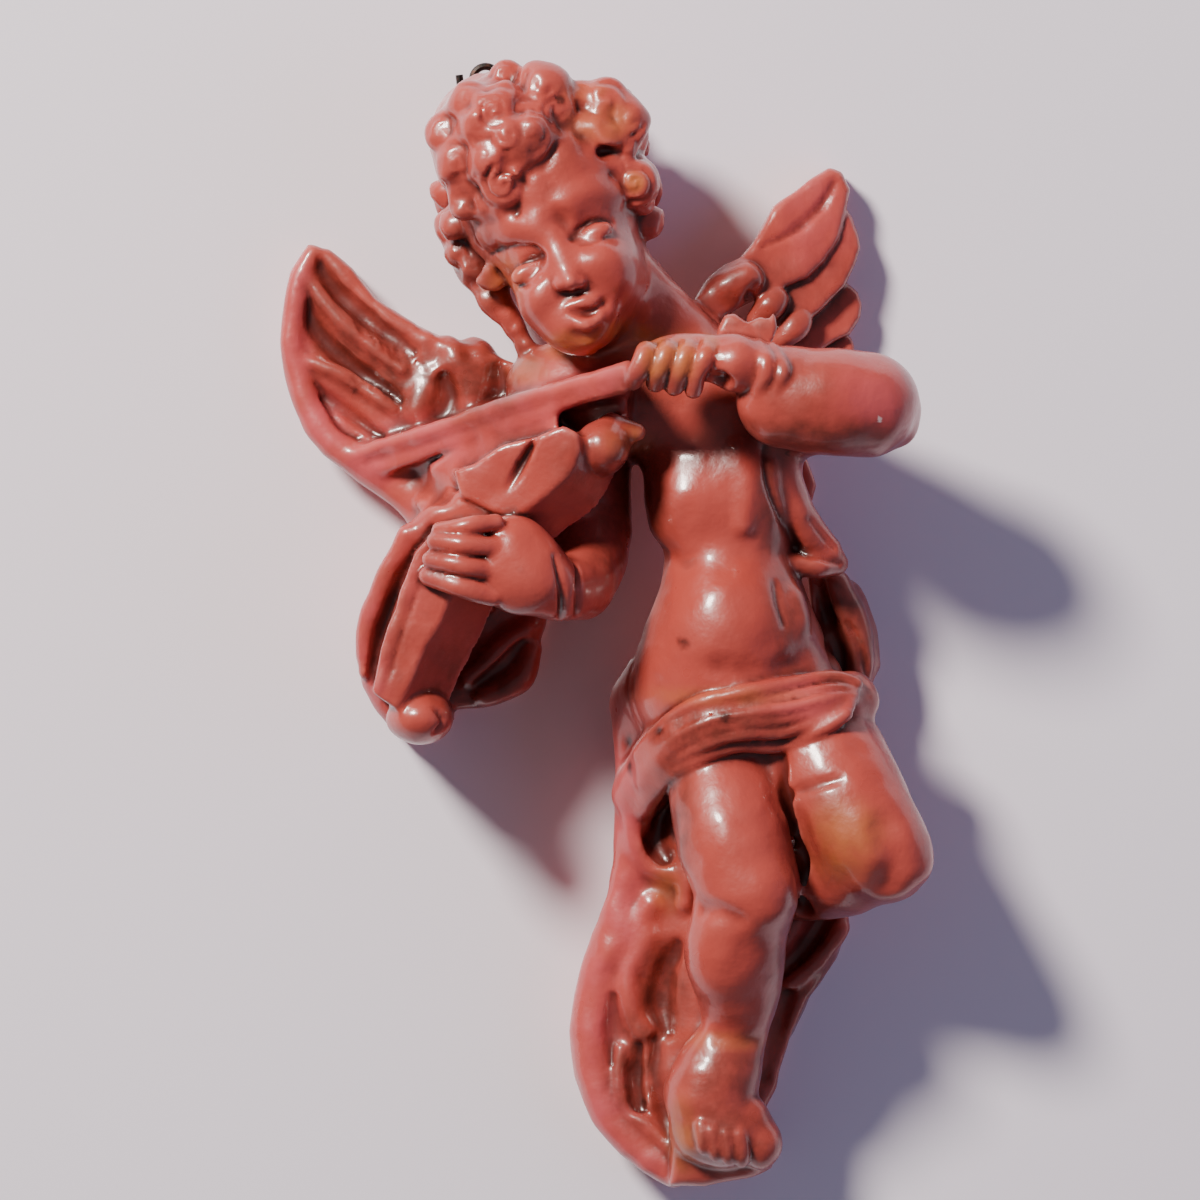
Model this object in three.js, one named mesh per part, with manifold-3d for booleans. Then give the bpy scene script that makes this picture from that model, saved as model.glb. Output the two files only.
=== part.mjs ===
// Cherub wall plaque: a winged infant playing a violin, cast in plaster with a flat back,
// and the wire eye set in the back of the head that it hangs from.
//
// Millimetres, +Z up. The wall is the plane y = 0 and the figure stands out from it towards -Y.
// The origin is the middle of the wire eye, on the wall, where the nail goes.
import * as THREE from "three";
import { mergeVertices } from "three/addons/utils/BufferGeometryUtils.js";
import Module from "manifold-3d";

// Driving dimensions, in millimetres
const HEIGHT = 165; // the casting, from the foot of the drapery to the top of the hair
const RELIEF = 42.9; // from the wall to the front of the bowing arm
const WIRE = 1.1; // diameter of the hanging wire
const EYE_BORE = 2.8; // clear width inside the wire eye
const WIRE_STAND_OFF = 2; // from the wall to the middle of the wire
const SHANK = 5; // how far the eye's legs go down into the plaster
const GAP = 0.3; // left between the wire and the plaster

// The figure is set out as a sculptor squares up a drawing. Its points are [u, d, w] in thousandths of
// its height: u to the right of the plumb line, d out from the wall, w up from the foot.
const SQUARES = 1000;
const ARM_DEPTH = 260; // of the front of the bowing arm, the foremost part
const EYE_AT = [-146, 984];
const SKULL = [-92, 105, 885];
const BEHIND = 10; // the clay goes this far behind the wall plane before it is sawn flat
const GRID = 6.4; // spacing of the samples in the clay
const TRIANGLES = 8800; // kept in the casting when its surface is thinned
const FAR = 1e3;

const minus = (a, b) => [a[0] - b[0], a[1] - b[1], a[2] - b[2]];
const dot = (a, b) => a[0] * b[0] + a[1] * b[1] + a[2] * b[2];
const cross = (a, b) => [a[1] * b[2] - a[2] * b[1], a[2] * b[0] - a[0] * b[2], a[0] * b[1] - a[1] * b[0]];
const mix = (a, b, t) => a.map((x, i) => x + (b[i] - x) * t);
const radians = (degrees) => (degrees * Math.PI) / 180;

function unit(a) {
  const length = Math.hypot(...a) || 1;
  return a.map((x) => x / length);
}

// The directions across, out and up of a form that leans to the viewer's left, nods forward and turns.
function posed(lean = 0, nod = 0, turn = 0) {
  const spin = new THREE.Matrix4().makeRotationY(radians(-lean));
  spin.multiply(new THREE.Matrix4().makeRotationX(radians(-nod)));
  spin.multiply(new THREE.Matrix4().makeRotationZ(radians(turn)));
  return [0, 1, 2].map((i) => new THREE.Vector3().setFromMatrixColumn(spin, i).toArray());
}
const UPRIGHT = posed();

// Each shape is the box it lies in and a distance at any point, negative inside.
function boxed(stations, reach, at) {
  const low = [0, 1, 2].map((i) => Math.min(...stations.map((s) => s[i])) - reach);
  const high = [0, 1, 2].map((i) => Math.max(...stations.map((s) => s[i])) + reach);
  return { low, high, at };
}

// Distance to an ellipsoid, close to true near its surface.
function oval(x, y, z, a, b, c) {
  const near = Math.hypot(x / a, y / b, z / c);
  const steep = Math.hypot(x / (a * a), y / (b * b), z / (c * c));
  return steep < 1e-9 ? -Math.min(a, b, c) : (near * (near - 1)) / steep;
}

function ball(centre, radii, frame = UPRIGHT) {
  return boxed([centre], Math.max(...radii), (u, d, w) => {
    const p = [u - centre[0], d - centre[1], w - centre[2]];
    return oval(dot(p, frame[0]), dot(p, frame[1]), dot(p, frame[2]), ...radii);
  });
}

// A smooth run of stations through the given ones.
function eased(stations, steps = 4) {
  if (stations.length < 3) return stations;
  const made = [];
  for (let i = 0; i < stations.length - 1; i++) {
    const [b, c] = [stations[i], stations[i + 1]];
    const [a, e] = [stations[i - 1] ?? b, stations[i + 2] ?? c];
    for (let s = 0; s < steps; s++) {
      const t = s / steps;
      made.push(b.map((x, k) => {
        const leave = (c[k] - a[k]) / 2;
        const arrive = (e[k] - x) / 2;
        const bend = 3 * (c[k] - x) - 2 * leave - arrive;
        const curl = 2 * (x - c[k]) + leave + arrive;
        return x + leave * t + bend * t * t + curl * t * t * t;
      }));
    }
  }
  return [...made, stations.at(-1)];
}

// A round tube of changing girth through stations [u, d, w, radius].
function limb(stations) {
  const path = eased(stations);
  const links = path.slice(1).map((b, i) => {
    const run = minus(b, path[i]);
    return { a: path[i], run, grow: b[3] - path[i][3], square: dot(run, run) || 1 };
  });
  return boxed(path, Math.max(...path.map((s) => s[3])), (u, d, w) => {
    let best = FAR;
    for (const { a, run, grow, square } of links) {
      const p = [u - a[0], d - a[1], w - a[2]];
      const t = Math.min(1, Math.max(0, dot(p, run) / square));
      best = Math.min(best, Math.hypot(p[0] - run[0] * t, p[1] - run[1] * t, p[2] - run[2] * t) - a[3] - grow * t);
    }
    return best;
  });
}

// A flattened tube that lies along the wall, through stations [u, d, w, half width, half thickness].
function blade(stations) {
  const path = eased(stations);
  const links = path.slice(1).map((b, i) => {
    const a = path[i];
    const run = minus(b, a);
    const along = unit(run);
    const side = unit(cross(along, [0, 1, 0]));
    return { a, b, along, side, out: cross(side, along), length: Math.hypot(...run) || 1 };
  });
  return boxed(path, Math.max(...path.map((s) => s[3])), (u, d, w) => {
    let best = FAR;
    for (const { a, b, along, side, out, length } of links) {
      const p = [u - a[0], d - a[1], w - a[2]];
      const reach = dot(p, along);
      const t = Math.min(1, Math.max(0, reach / length));
      const wide = a[3] + (b[3] - a[3]) * t;
      const thick = a[4] + (b[4] - a[4]) * t;
      best = Math.min(best, oval(dot(p, side), dot(p, out), reach - t * length, wide, thick, wide));
    }
    return best;
  });
}

// A plate cut to an outline of [u, w] corners. Its face passes through [u, d, w] and rises by slope to the
// right and upwards. Its edge moves by lean to the right and upwards as it goes back.
function slab(outline, face, slope = [0, 0], thick = NOSE_DEPTH, lean = [0, 0], round = 0) {
  const top = (u, w) => face[1] + (u - face[0]) * slope[0] + (w - face[2]) * slope[1];
  const steep = Math.hypot(1, ...slope);
  const edge = (u, w) => {
    let square = FAR * FAR;
    let inside = false;
    for (let i = 0, j = outline.length - 1; i < outline.length; j = i++) {
      const [[ax, ay], [bx, by]] = [outline[i], outline[j]];
      const [ex, ey] = [bx - ax, by - ay];
      const t = Math.min(1, Math.max(0, ((u - ax) * ex + (w - ay) * ey) / (ex * ex + ey * ey)));
      square = Math.min(square, (u - ax - ex * t) ** 2 + (w - ay - ey * t) ** 2);
      if (ay > w !== by > w && u < ax + (ex * (w - ay)) / ey) inside = !inside;
    }
    return (inside ? -1 : 1) * Math.sqrt(square);
  };
  const corners = outline.flatMap(([u, w]) => [
    [u, top(u, w), w],
    [u + lean[0] * thick, top(u, w) - thick, w + lean[1] * thick],
  ]);
  return boxed(corners, 0, (u, d, w) => {
    const sunk = top(u, w) - d;
    const sides = edge(u - lean[0] * sunk, w - lean[1] * sunk) + round;
    const ends = Math.max(-sunk, sunk - thick) / steep + round;
    return Math.min(0, Math.max(sides, ends)) + Math.hypot(Math.max(0, sides), Math.max(0, ends)) - round;
  });
}

// The clay is a box of samples, each the distance to the surface, to which shapes are added and cut away.
const LOW = [-345, -BEHIND - 2 * GRID, -14];
const HIGH = [262, 318, 1014];
const COUNT = [0, 1, 2].map((i) => Math.ceil((HIGH[i] - LOW[i]) / GRID) + 1);
const clay = new Float32Array(COUNT[0] * COUNT[1] * COUNT[2]).fill(FAR);
const sample = (i, j, k) => (k * COUNT[1] + j) * COUNT[0] + i;

function work(shape, reach, merge) {
  const first = shape.low.map((x, i) => Math.max(0, Math.floor((x - reach - LOW[i]) / GRID)));
  const last = shape.high.map((x, i) => Math.min(COUNT[i] - 1, Math.ceil((x + reach - LOW[i]) / GRID)));
  for (let k = first[2]; k <= last[2]; k++)
    for (let j = first[1]; j <= last[1]; j++)
      for (let i = first[0]; i <= last[0]; i++) {
        const n = sample(i, j, k);
        clay[n] = merge(clay[n], shape.at(LOW[0] + i * GRID, LOW[1] + j * GRID, LOW[2] + k * GRID));
      }
}

// Adds a shape, with a soft neck where it joins what is there.
function add(shape, soft = 3) {
  work(shape, soft + 2 * GRID, (a, b) => {
    const near = Math.max(0, soft - Math.abs(a - b));
    return Math.min(a, b) - (near * near) / (4 * soft);
  });
}

// Cuts a shape away, and softens the rim that it leaves.
function cut(shape, soft = 3) {
  work(shape, soft + 2 * GRID, (a, b) => {
    const near = Math.max(0, soft - Math.abs(a + b));
    return Math.max(a, -b) + (near * near) / (4 * soft);
  });
}

// How far the clay stands out from the wall at u and w.
function front(u, w) {
  const [x, z] = [(u - LOW[0]) / GRID, (w - LOW[2]) / GRID];
  const [i, k] = [Math.floor(x), Math.floor(z)];
  const at = (j) => {
    const low = clay[sample(i, j, k)] * (1 - x + i) + clay[sample(i + 1, j, k)] * (x - i);
    const high = clay[sample(i, j, k + 1)] * (1 - x + i) + clay[sample(i + 1, j, k + 1)] * (x - i);
    return low * (1 - z + k) + high * (z - k);
  };
  let outer = at(COUNT[1] - 1);
  for (let j = COUNT[1] - 2; j >= 0; j--) {
    const inner = at(j);
    if (inner < 0) return LOW[1] + (j + inner / (inner - outer)) * GRID;
    outer = inner;
  }
  return 0;
}

// A roll or a furrow that follows the surface, through [u, w, radius, height of its middle above the surface].
const laid = (points) => limb(points.map(([u, w, radius, lift = 0]) => [u, front(u, w) + lift, w, radius]));
const roll = (points, soft = 4) => add(laid(points), soft);
const furrow = (points, soft = 3) => cut(laid(points), soft);

function toe(u, w, girth) {
  const root = front(u, w + 15);
  const tip = front(u, w);
  add(limb([[u - 2, root - 0.4 * girth, w + 15, girth], [u, tip + 1, w, girth], [u + 1, tip - 4, w - 7, girth - 1]]), 2.5);
}

function finger(root, tip, d, girth) {
  const [u, w] = mix(root, tip, 0.5);
  add(limb([[root[0], d - 4, root[1], girth], [u, d + 3, w, girth], [tip[0], d - 9, tip[1], girth - 1]]), 2.5);
}

function knuckle(top, foot) {
  const [u, w] = mix(top, foot, 0.5);
  add(limb([[top[0], 224, top[1] - 9, 9], [u + 4, 247, w + 9, 10], [u - 2, 249, w - 5, 9.5], [foot[0], 238, foot[1] + 4, 8.5]]), 2);
}

function eyeball(u, w, lean) {
  add(ball([u, front(u, w) - 4, w], [17, 10, 9], posed(lean)), 3);
}

// Cloth between an upper and a lower edge: its body, and one fold that lies a share of the way down it.
const between = (upper, lower, share) => upper.map((point, i) => mix(point, lower[i], share));
function band(upper, lower, lift, girth, soft) {
  add(limb(between(upper, lower, 0.5).map(([u, w]) => [u, front(u, w) + lift, w, girth])), soft);
}
function fold(upper, lower, share, girth, lift) {
  roll(between(upper, lower, share).map(([u, w]) => [u, w, girth, lift]), 3);
}

// Directions on the hair at a place: out from the middle of the skull, to the side, and up.
function bearings(u, d, w) {
  const facing = unit(minus([u, d, w], SKULL));
  const side = unit(cross([0, 0, 1], facing));
  return { facing, side, rise: cross(facing, side) };
}

// One snail curl, facing away from the middle of the skull. Its hand, 1 or -1, is the way it winds.
function curlAt(u, d, w, size, hand) {
  const { facing, side, rise } = bearings(u, d, w);
  const TURN = 2.5 * Math.PI;
  const STEPS = 9;
  const path = [];
  for (let i = 0; i <= STEPS; i++) {
    const t = i / STEPS;
    const angle = hand * (TURN * t + u * 0.13 + w * 0.07);
    const ring = size * (0.66 - 0.56 * t);
    const lift = size * 0.3 * t;
    const from = [u, d, w].map((x, k) => x + facing[k] * lift + side[k] * ring * Math.cos(angle));
    path.push([...from.map((x, k) => x + rise[k] * ring * Math.sin(angle)), size * (0.34 - 0.12 * t)]);
  }
  add(ball([u, d, w].map((x, k) => x - facing[k] * size * 0.45), [size * 0.95, size * 0.95, size * 0.95]), 5);
  add(limb(path), 2);
}
const curl = (u, w, size, hand) => curlAt(u, front(u, w) - size * 0.05, w, size, hand);

// A short lock: a low lump with two smaller ones on it, one way or another.
function lock(u, w, size) {
  const centre = [u, front(u, w) - size * 0.3, w];
  const { facing, side, rise } = bearings(...centre);
  const angle = u * 0.31 + w * 0.17;
  const drift = side.map((x, k) => x * Math.cos(angle) + rise[k] * Math.sin(angle));
  const lump = (out, along, share, soft) => {
    const at = centre.map((x, k) => x + size * (facing[k] * out + drift[k] * along));
    add(ball(at, [size * share, size * share, size * share]), soft);
  };
  lump(-0.25, 0, 0.95, 7);
  lump(0.3, 0.38, 0.45, 6);
  lump(0.3, -0.42, 0.36, 5);
}

// Curls round the side of the head, near the wall.
function ring(wide, high, d, count, from, to) {
  for (let i = 0; i < count; i++) {
    const angle = radians(from + (i * (to - from)) / (count - 1));
    curlAt(SKULL[0] + wide * Math.cos(angle), d, SKULL[2] + high * Math.sin(angle), 19, i % 2 ? 1 : -1);
  }
}

// The left wing: a body with long rounded feathers, and the broad smooth feather that frames them.
function leftWing() {
  add(slab([
    [-303, 836], [-285, 833], [-264, 815], [-244, 789], [-222, 774], [-190, 756], [-150, 743], [-108, 725], [-90, 700],
    [-120, 640], [-205, 585], [-226, 606], [-242, 619], [-268, 639], [-289, 652], [-308, 695], [-325, 745],
    [-324, 785], [-319, 812],
  ], [-250, 50, 720], [0.1, 0], 300, [0, 0], 9), 6);
  furrow([[-296, 826, 3, 0], [-281, 800, 6, 0], [-254, 776, 7, 0], [-226, 759, 6, 0], [-200, 747, 4, 0]], 4);
  furrow([[-300, 808, 2, 0], [-286, 786, 3, 1], [-264, 760, 4, 1], [-236, 740, 5, 1], [-206, 726, 4, 1]], 5);
  furrow([[-303, 800, 4, 0], [-300, 776, 6, 0], [-281, 750, 7, 0], [-252, 727, 7, 0], [-222, 713, 5, 0]], 4);
  furrow([[-306, 742, 2, 0], [-284, 730, 3, 0], [-256, 716, 4, 1], [-232, 708, 3, 1]], 4);
  furrow([[-301, 722, 4, 0], [-286, 710, 6, 0], [-262, 700, 7, 0], [-232, 696, 5, 0]], 4);
  furrow([[-288, 692, 3, 0], [-270, 682, 5, 0], [-248, 670, 6, 0], [-230, 666, 4, 0]], 4);
  roll([[-299, 828, 7, -2], [-311, 806, 9, -3], [-316, 776, 10, -3], [-317, 742, 11, -3], [-309, 708, 12, -3],
    [-297, 680, 13, -3], [-280, 660, 14, -4], [-262, 646, 14, -5], [-240, 632, 12, -5]], 6);
  roll([[-300, 737, 6, 0], [-276, 724, 6, -1], [-252, 713, 5, -2], [-230, 707, 4, -3]], 5);
  furrow([[-290, 700, 3, 0], [-276, 676, 4, 0], [-258, 664, 3, 0]], 4);
  add(limb([[-207, 44, 676, 12], [-204, 50, 696, 12], [-192, 52, 716, 10]]), 9);
  add(limb([[-178, 46, 744, 9], [-171, 54, 732, 11], [-166, 52, 714, 10]]), 9);
  add(limb([[-152, 40, 738, 14], [-153, 46, 716, 17], [-158, 50, 694, 15]]), 12);
  furrow([[-182, 714, 6, 1], [-179, 700, 8, 2], [-184, 684, 6, 1]], 8);
  furrow([[-133, 724, 7, 0], [-131, 708, 9, 1], [-137, 694, 7, 0]], 10);
  furrow([[-117, 718, 5, 0], [-114, 708, 7, 2], [-121, 698, 5, 0]], 6);
}

// The right wing: four long feathers like shingles, with three rounded ones over their roots.
function rightWing() {
  add(slab([[140, 756], [170, 757], [179, 754], [182, 745], [180, 734], [160, 724], [120, 720]],
    [160, 24, 745], [-0.05, -0.2], 300, [0, 0], 4), 3);
  add(slab([[120, 785], [160, 800], [178, 801], [185, 795], [189, 783], [187, 771], [178, 757], [150, 742], [110, 730]],
    [160, 32, 775], [-0.15, -0.25], 300, [0, 0], 5), 2);
  add(slab([[110, 800], [150, 830], [172, 872], [180, 861], [186, 846], [188, 834], [182, 818], [174, 800], [150, 776],
    [138, 766], [100, 760]], [160, 42, 820], [-0.15, -0.2], 300, [0, 0], 5), 2);
  add(slab([
    [45, 790], [54, 805], [66, 818], [80, 824], [92, 838], [110, 870], [125, 881], [142, 895], [160, 905], [171, 901],
    [179, 886], [174, 866], [168, 842], [155, 820], [140, 806], [120, 798], [90, 786], [60, 770],
  ], [120, 56, 830], [-0.2, -0.2], 300, [0, 0], 6), 2);
  add(limb([[50, 54, 776, 14], [66, 66, 794, 17], [86, 70, 806, 14]]), 6);
  add(limb([[96, 60, 770, 10], [106, 62, 780, 13], [112, 60, 788, 11]]), 3);
  add(limb([[116, 50, 752, 10], [128, 54, 762, 13], [134, 52, 768, 11]]), 3);
  furrow([[165, 893, 2, 0], [152, 870, 3.5, 0], [128, 848, 3.5, 0], [100, 834, 2, 0]], 4);
  furrow([[94, 800, 3, 0], [88, 790, 4, 0], [86, 776, 3, 0]], 4);
}

// The drapery behind the legs: a broad fall on the left, a narrow one behind the bent leg.
function drapery() {
  add(slab([
    [-28, 440], [-28, 300], [-32, 266], [-46, 230], [-60, 186], [-70, 138], [-65, 98], [-50, 62], [-24, 28],
    [6, 7], [22, 0], [60, 20], [90, 130], [80, 300], [60, 440],
  ], [-20, 64, 250], [0.25, 0.02], 300, [0, 0], 18), 14);
  roll([[-16, 430, 14, -6], [-14, 350, 15, -6], [-18, 290, 14, -6], [-26, 250, 12, -6]], 16);
  roll([[6, 398, 11, 0], [-8, 356, 12, 0], [-12, 316, 11, 0], [0, 288, 10, 0], [20, 278, 8, 0]], 10);
  furrow([[22, 366, 7, 0], [10, 342, 9, 2], [4, 312, 13, 5], [14, 294, 7, 4]], 7);
  roll([[32, 300, 8, -1], [35, 276, 9, 0], [32, 252, 7, 0]], 8);
  roll([[2, 250, 9, -3], [-16, 222, 9, -4], [-34, 206, 8, -4]], 10);
  furrow([[24, 214, 5, 0], [12, 188, 10, 2], [10, 156, 14, 5], [14, 138, 9, 2]], 9);
  roll([[-30, 232, 14, -8], [-45, 182, 16, -8], [-51, 135, 17, -8], [-47, 96, 16, -8], [-34, 62, 15, -8],
    [-12, 36, 13, -6], [14, 16, 10, -4]], 16);
  roll([[4, 226, 7, -1], [-16, 194, 8, 0], [-15, 166, 9, 2], [-6, 140, 8, 0]], 8);
  furrow([[-33, 168, 3, 0], [-34, 142, 6, 2], [-33, 110, 4, 2]], 5);
  furrow([[-8, 128, 3, 0], [-20, 100, 5, 2], [-22, 74, 5, 2], [-12, 58, 4, 0]], 5);
  roll([[-4, 120, 9, -2], [-10, 94, 11, -2], [-4, 68, 9, -2]], 8);
  furrow([[5, 130, 5, 0], [5, 94, 8, 3], [13, 62, 8, 3], [28, 38, 7, 3], [46, 12, 5, 1]], 6);
  roll([[-18, 60, 4, 0], [0, 51, 5, 0], [13, 38, 5, 0], [34, 14, 5, 0]], 5);
  add(slab([
    [100, 262], [176, 262], [177, 230], [165, 200], [142, 167], [124, 128], [112, 92], [101, 62], [80, 62], [80, 200],
  ], [130, 48, 180], [-0.1, 0.05], 300, [0, 0], 9), 8);
  furrow([[158, 242, 9, 0], [142, 216, 12, 2], [120, 192, 9, 2]], 8);
  roll([[170, 228, 7, -1], [152, 202, 7, 0], [124, 178, 7, 0]], 7);
  furrow([[122, 168, 7, 0], [111, 132, 9, 2], [103, 96, 7, 2]], 8);
}

// The body: neck and shoulders, chest, round belly and hips, in one soft run.
function torso() {
  add(limb([[62, 84, 650, 62], [66, 88, 604, 62], [70, 90, 556, 54], [74, 94, 516, 61], [74, 94, 480, 76]]), 44);
  add(ball([72, 84, 436], [100, 92, 66]), 44);
  add(limb([[64, 90, 690, 60], [24, 95, 730, 50], [-25, 110, 785, 46]]), 25);
  add(limb([[70, 100, 690, 52], [-50, 108, 700, 50], [-86, 96, 706, 42]]), 24);
  add(ball([34, 122, 614], [34, 40, 44], posed(6)), 40);
  add(ball([86, 118, 618], [32, 38, 50]), 40);
  add(ball([68, 130, 504], [50, 56, 52]), 42);
  furrow([[2, 574, 5, 0], [18, 558, 7, 3], [42, 550, 5, 4]], 16);
  furrow([[62, 460, 5, 4], [100, 455, 6, 3], [136, 468, 5, 3]], 14);
  furrow([[110, 535, 2, 1], [113, 518, 4, 1], [119, 500, 2, 1]], 7);
  roll([[124, 522, 7, -5], [130, 504, 8, -6]], 14);
  roll([[78, 652, 5, -3], [86, 622, 6, -4], [82, 588, 5, -3]], 14);
}

// The left leg hangs down straight and the right one is bent back at the knee.
function legs() {
  add(limb([
    [60, 104, 412, 54], [63, 126, 362, 48], [72, 150, 312, 50], [84, 158, 268, 46],
    [79, 144, 232, 43], [76, 130, 202, 43], [78, 116, 168, 35], [78, 108, 138, 22],
  ]), 20);
  add(ball([100, 180, 262], [24, 24, 26]), 20);
  add(ball([62, 150, 208], [24, 26, 30]), 26);
  furrow([[42, 248, 5, 3], [60, 244, 6, 4], [78, 236, 5, 4]], 16);
  add(limb([[122, 96, 424, 56], [150, 122, 384, 56], [176, 146, 338, 54], [200, 160, 304, 45], [224, 168, 290, 24]]), 14);
  add(limb([[206, 150, 294, 38], [172, 124, 282, 41], [140, 92, 274, 37], [112, 50, 268, 30]]), 16);
  furrow([[126, 351, 2.5, 0], [143, 357, 3.5, 1], [166, 364, 2, 1]], 7);
  furrow([[206, 322, 6, 5], [214, 292, 8, 6], [208, 268, 6, 5]], 20);
  cut(limb([[114, 190, 388, 4], [121, 186, 352, 6], [132, 180, 314, 7], [137, 170, 280, 7], [136, 150, 246, 8]]), 6);
  cut(limb([[114, 168, 388, 4], [121, 160, 352, 6], [132, 150, 314, 7], [137, 140, 280, 7], [136, 120, 246, 8]]), 6);
}

// The foot rests on the drapery, toes down.
function foot() {
  add(limb([[78, 106, 142, 22], [64, 106, 112, 36], [54, 102, 84, 42]]), 12);
  add(ball([66, 104, 50], [46, 38, 32]), 14);
  add(slab([[18, 2], [48, 1], [90, 9], [108, 18], [112, 32], [100, 48], [20, 50]],
    [60, 100, 20], [0.1, 0.4], 300, [0, 0], 8), 8);
  furrow([[56, 135, 2.5, 0], [78, 129, 3.5, 0], [100, 135, 2.5, 0]], 6);
  furrow([[36, 120, 2, 1], [56, 112, 2.5, 1], [84, 114, 2, 1]], 7);
  add(ball([92, 118, 64], [11, 15, 17], posed(-28)), 8);
  add(ball([101, 116, 37], [18, 22, 20], posed(-20)), 6);
  toe(80, 33, 8);
  toe(68, 34, 7.5);
  toe(57, 37, 7);
  toe(47, 42, 6.5);
}

// The open edge of the tunic, and the cloth gathered below it at the waist.
function tunic() {
  add(slab([[120, 655], [138, 650], [148, 622], [142, 600], [110, 590]], [130, 54, 620], [0, 0], 300, [0, 0], 6), 6);
  add(blade([[117, 112, 672, 16, 24], [120, 116, 628, 15, 24], [132, 110, 594, 16, 22], [150, 98, 564, 19, 18]]), 6);
  add(blade([[124, 112, 553, 9, 12], [146, 108, 551, 12, 14], [164, 92, 553, 11, 12]]), 6);
  furrow([[101, 658, 3, 0], [104, 624, 4, 0], [114, 596, 4, 0], [131, 568, 3, 0]], 4);
  furrow([[140, 592, 1.5, 0], [152, 578, 2.5, 0], [163, 566, 2, 0]], 4);
  furrow([[136, 562, 2, 0], [150, 558, 3, 1], [168, 552, 2, 0]], 5);
  add(slab([[140, 546], [176, 540], [190, 522], [200, 490], [204, 462], [196, 440], [180, 428], [150, 440]],
    [170, 62, 490], [-0.2, 0], 300, [0, 0], 9), 8);
  add(limb([[164, 62, 534, 14], [178, 62, 504, 15], [186, 60, 474, 13], [184, 62, 446, 11]]), 8);
  add(limb([[176, 44, 524, 14], [190, 40, 492, 12], [194, 40, 464, 10]]), 6);
  furrow([[150, 532, 5, 0], [157, 500, 9, 1], [163, 470, 9, 1], [172, 446, 5, 0]], 8);
  furrow([[176, 500, 2, 0], [187, 476, 3.5, 0], [194, 448, 3, 0]], 4);
}

// The cloth round the hips, in long folds from its upper edge to its lower one.
function sash() {
  const upper = [[182, 446], [160, 452], [120, 446], [80, 438], [44, 430], [14, 412], [-12, 384]];
  const lower = [[172, 420], [148, 405], [116, 392], [76, 392], [42, 380], [12, 360], [-6, 318]];
  band(upper, lower, -14, 25, 8);
  fold(upper, lower, 0, 6.5, 1);
  fold(upper, lower, 0.21, 5, 0);
  fold(upper, lower, 0.4, 6, 1);
  fold(upper, lower, 0.58, 5, 0);
  fold(upper, lower, 0.78, 6, 1);
  fold(upper, lower, 1, 6.5, 0);
}

// The sleeve and loose cloth under the violin's neck, with a hollow behind the hand.
function sleeve() {
  add(slab([
    [-210, 588], [-226, 566], [-246, 532], [-258, 498], [-260, 470], [-254, 444], [-240, 420], [-222, 398], [-203, 393],
    [-184, 400], [-174, 416], [-188, 450], [-176, 486], [-140, 512], [-120, 600], [-180, 620],
  ], [-210, 150, 480], [0.2, 0.25], 300, [0, 0], 14), 8);
  add(slab([[-190, 470], [-180, 424], [-150, 424], [-122, 432], [-106, 448], [-100, 476], [-92, 500], [-90, 560],
    [-190, 560]], [-140, 46, 460], [0, 0.1], 300, [0, 0], 8), 8);
  roll([[-110, 494, 9, 0], [-134, 475, 12, 0], [-160, 452, 9, 0]], 7);
  roll([[-104, 476, 8, 0], [-116, 450, 13, 0], [-146, 436, 10, 0]], 7);
  furrow([[-112, 482, 4, 0], [-132, 463, 5, 2], [-152, 446, 4, 2]], 4);
  roll([[-214, 578, 8, 0], [-236, 534, 9, 0], [-250, 492, 9, 0], [-250, 458, 8, 0]], 7);
  furrow([[-192, 582, 4, 0], [-216, 540, 6, 1], [-232, 506, 6, 1], [-240, 476, 6, 1], [-246, 450, 4, 1]], 5);
}

// The bow, and the web that the casting leaves below it down to the wall.
function bow() {
  add(slab([
    [-285, 640], [-250, 655], [-150, 688], [-60, 712], [-20, 714], [-20, 660], [-60, 600], [-120, 575], [-180, 580],
    [-205, 582], [-228, 606], [-258, 627],
  ], [-180, 88, 640], [0.5, 0.25], 300, [0, 0], 8), 12);
  add(slab([
    [-274, 646], [-250, 656], [-200, 672], [-150, 690], [-100, 705], [-60, 715], [-20, 724], [-20, 702], [-60, 692],
    [-100, 680], [-150, 663], [-196, 646], [-232, 632], [-256, 634],
  ], [-150, 142, 680], [0.76, 0.15], 300, [0, 0], 7), 8);
  add(limb([[-270, 50, 648, 6], [-240, 76, 656, 6], [-200, 106, 668, 7], [-140, 151, 687, 7], [-60, 212, 710, 8],
    [-20, 236, 721, 8]]), 7);
  cut(limb([[-70, 190, 676, 9], [-40, 200, 686, 11], [-14, 205, 690, 9]]), 5);
  furrow([[-212, 628, 8, 3], [-196, 618, 11, 4], [-180, 612, 8, 3]], 9);
}

// The arm behind the violin comes down to the elbow and forward to the hand on the neck.
function neckArm() {
  add(limb([[-62, 80, 660, 44], [-54, 86, 600, 38], [-54, 112, 556, 34], [-62, 150, 534, 29]]), 14);
  add(limb([[-62, 150, 534, 29], [-78, 184, 530, 28], [-102, 204, 540, 34]]), 10);
  add(ball([-120, 208, 552], [40, 32, 43], posed(20)), 10);
  furrow([[-84, 558, 2.5, 0], [-78, 530, 3.5, 0], [-80, 504, 2.5, 0]], 4);
  furrow([[-68, 556, 2.5, 0], [-64, 530, 3.5, 0], [-66, 506, 2.5, 0]], 4);
}

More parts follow.
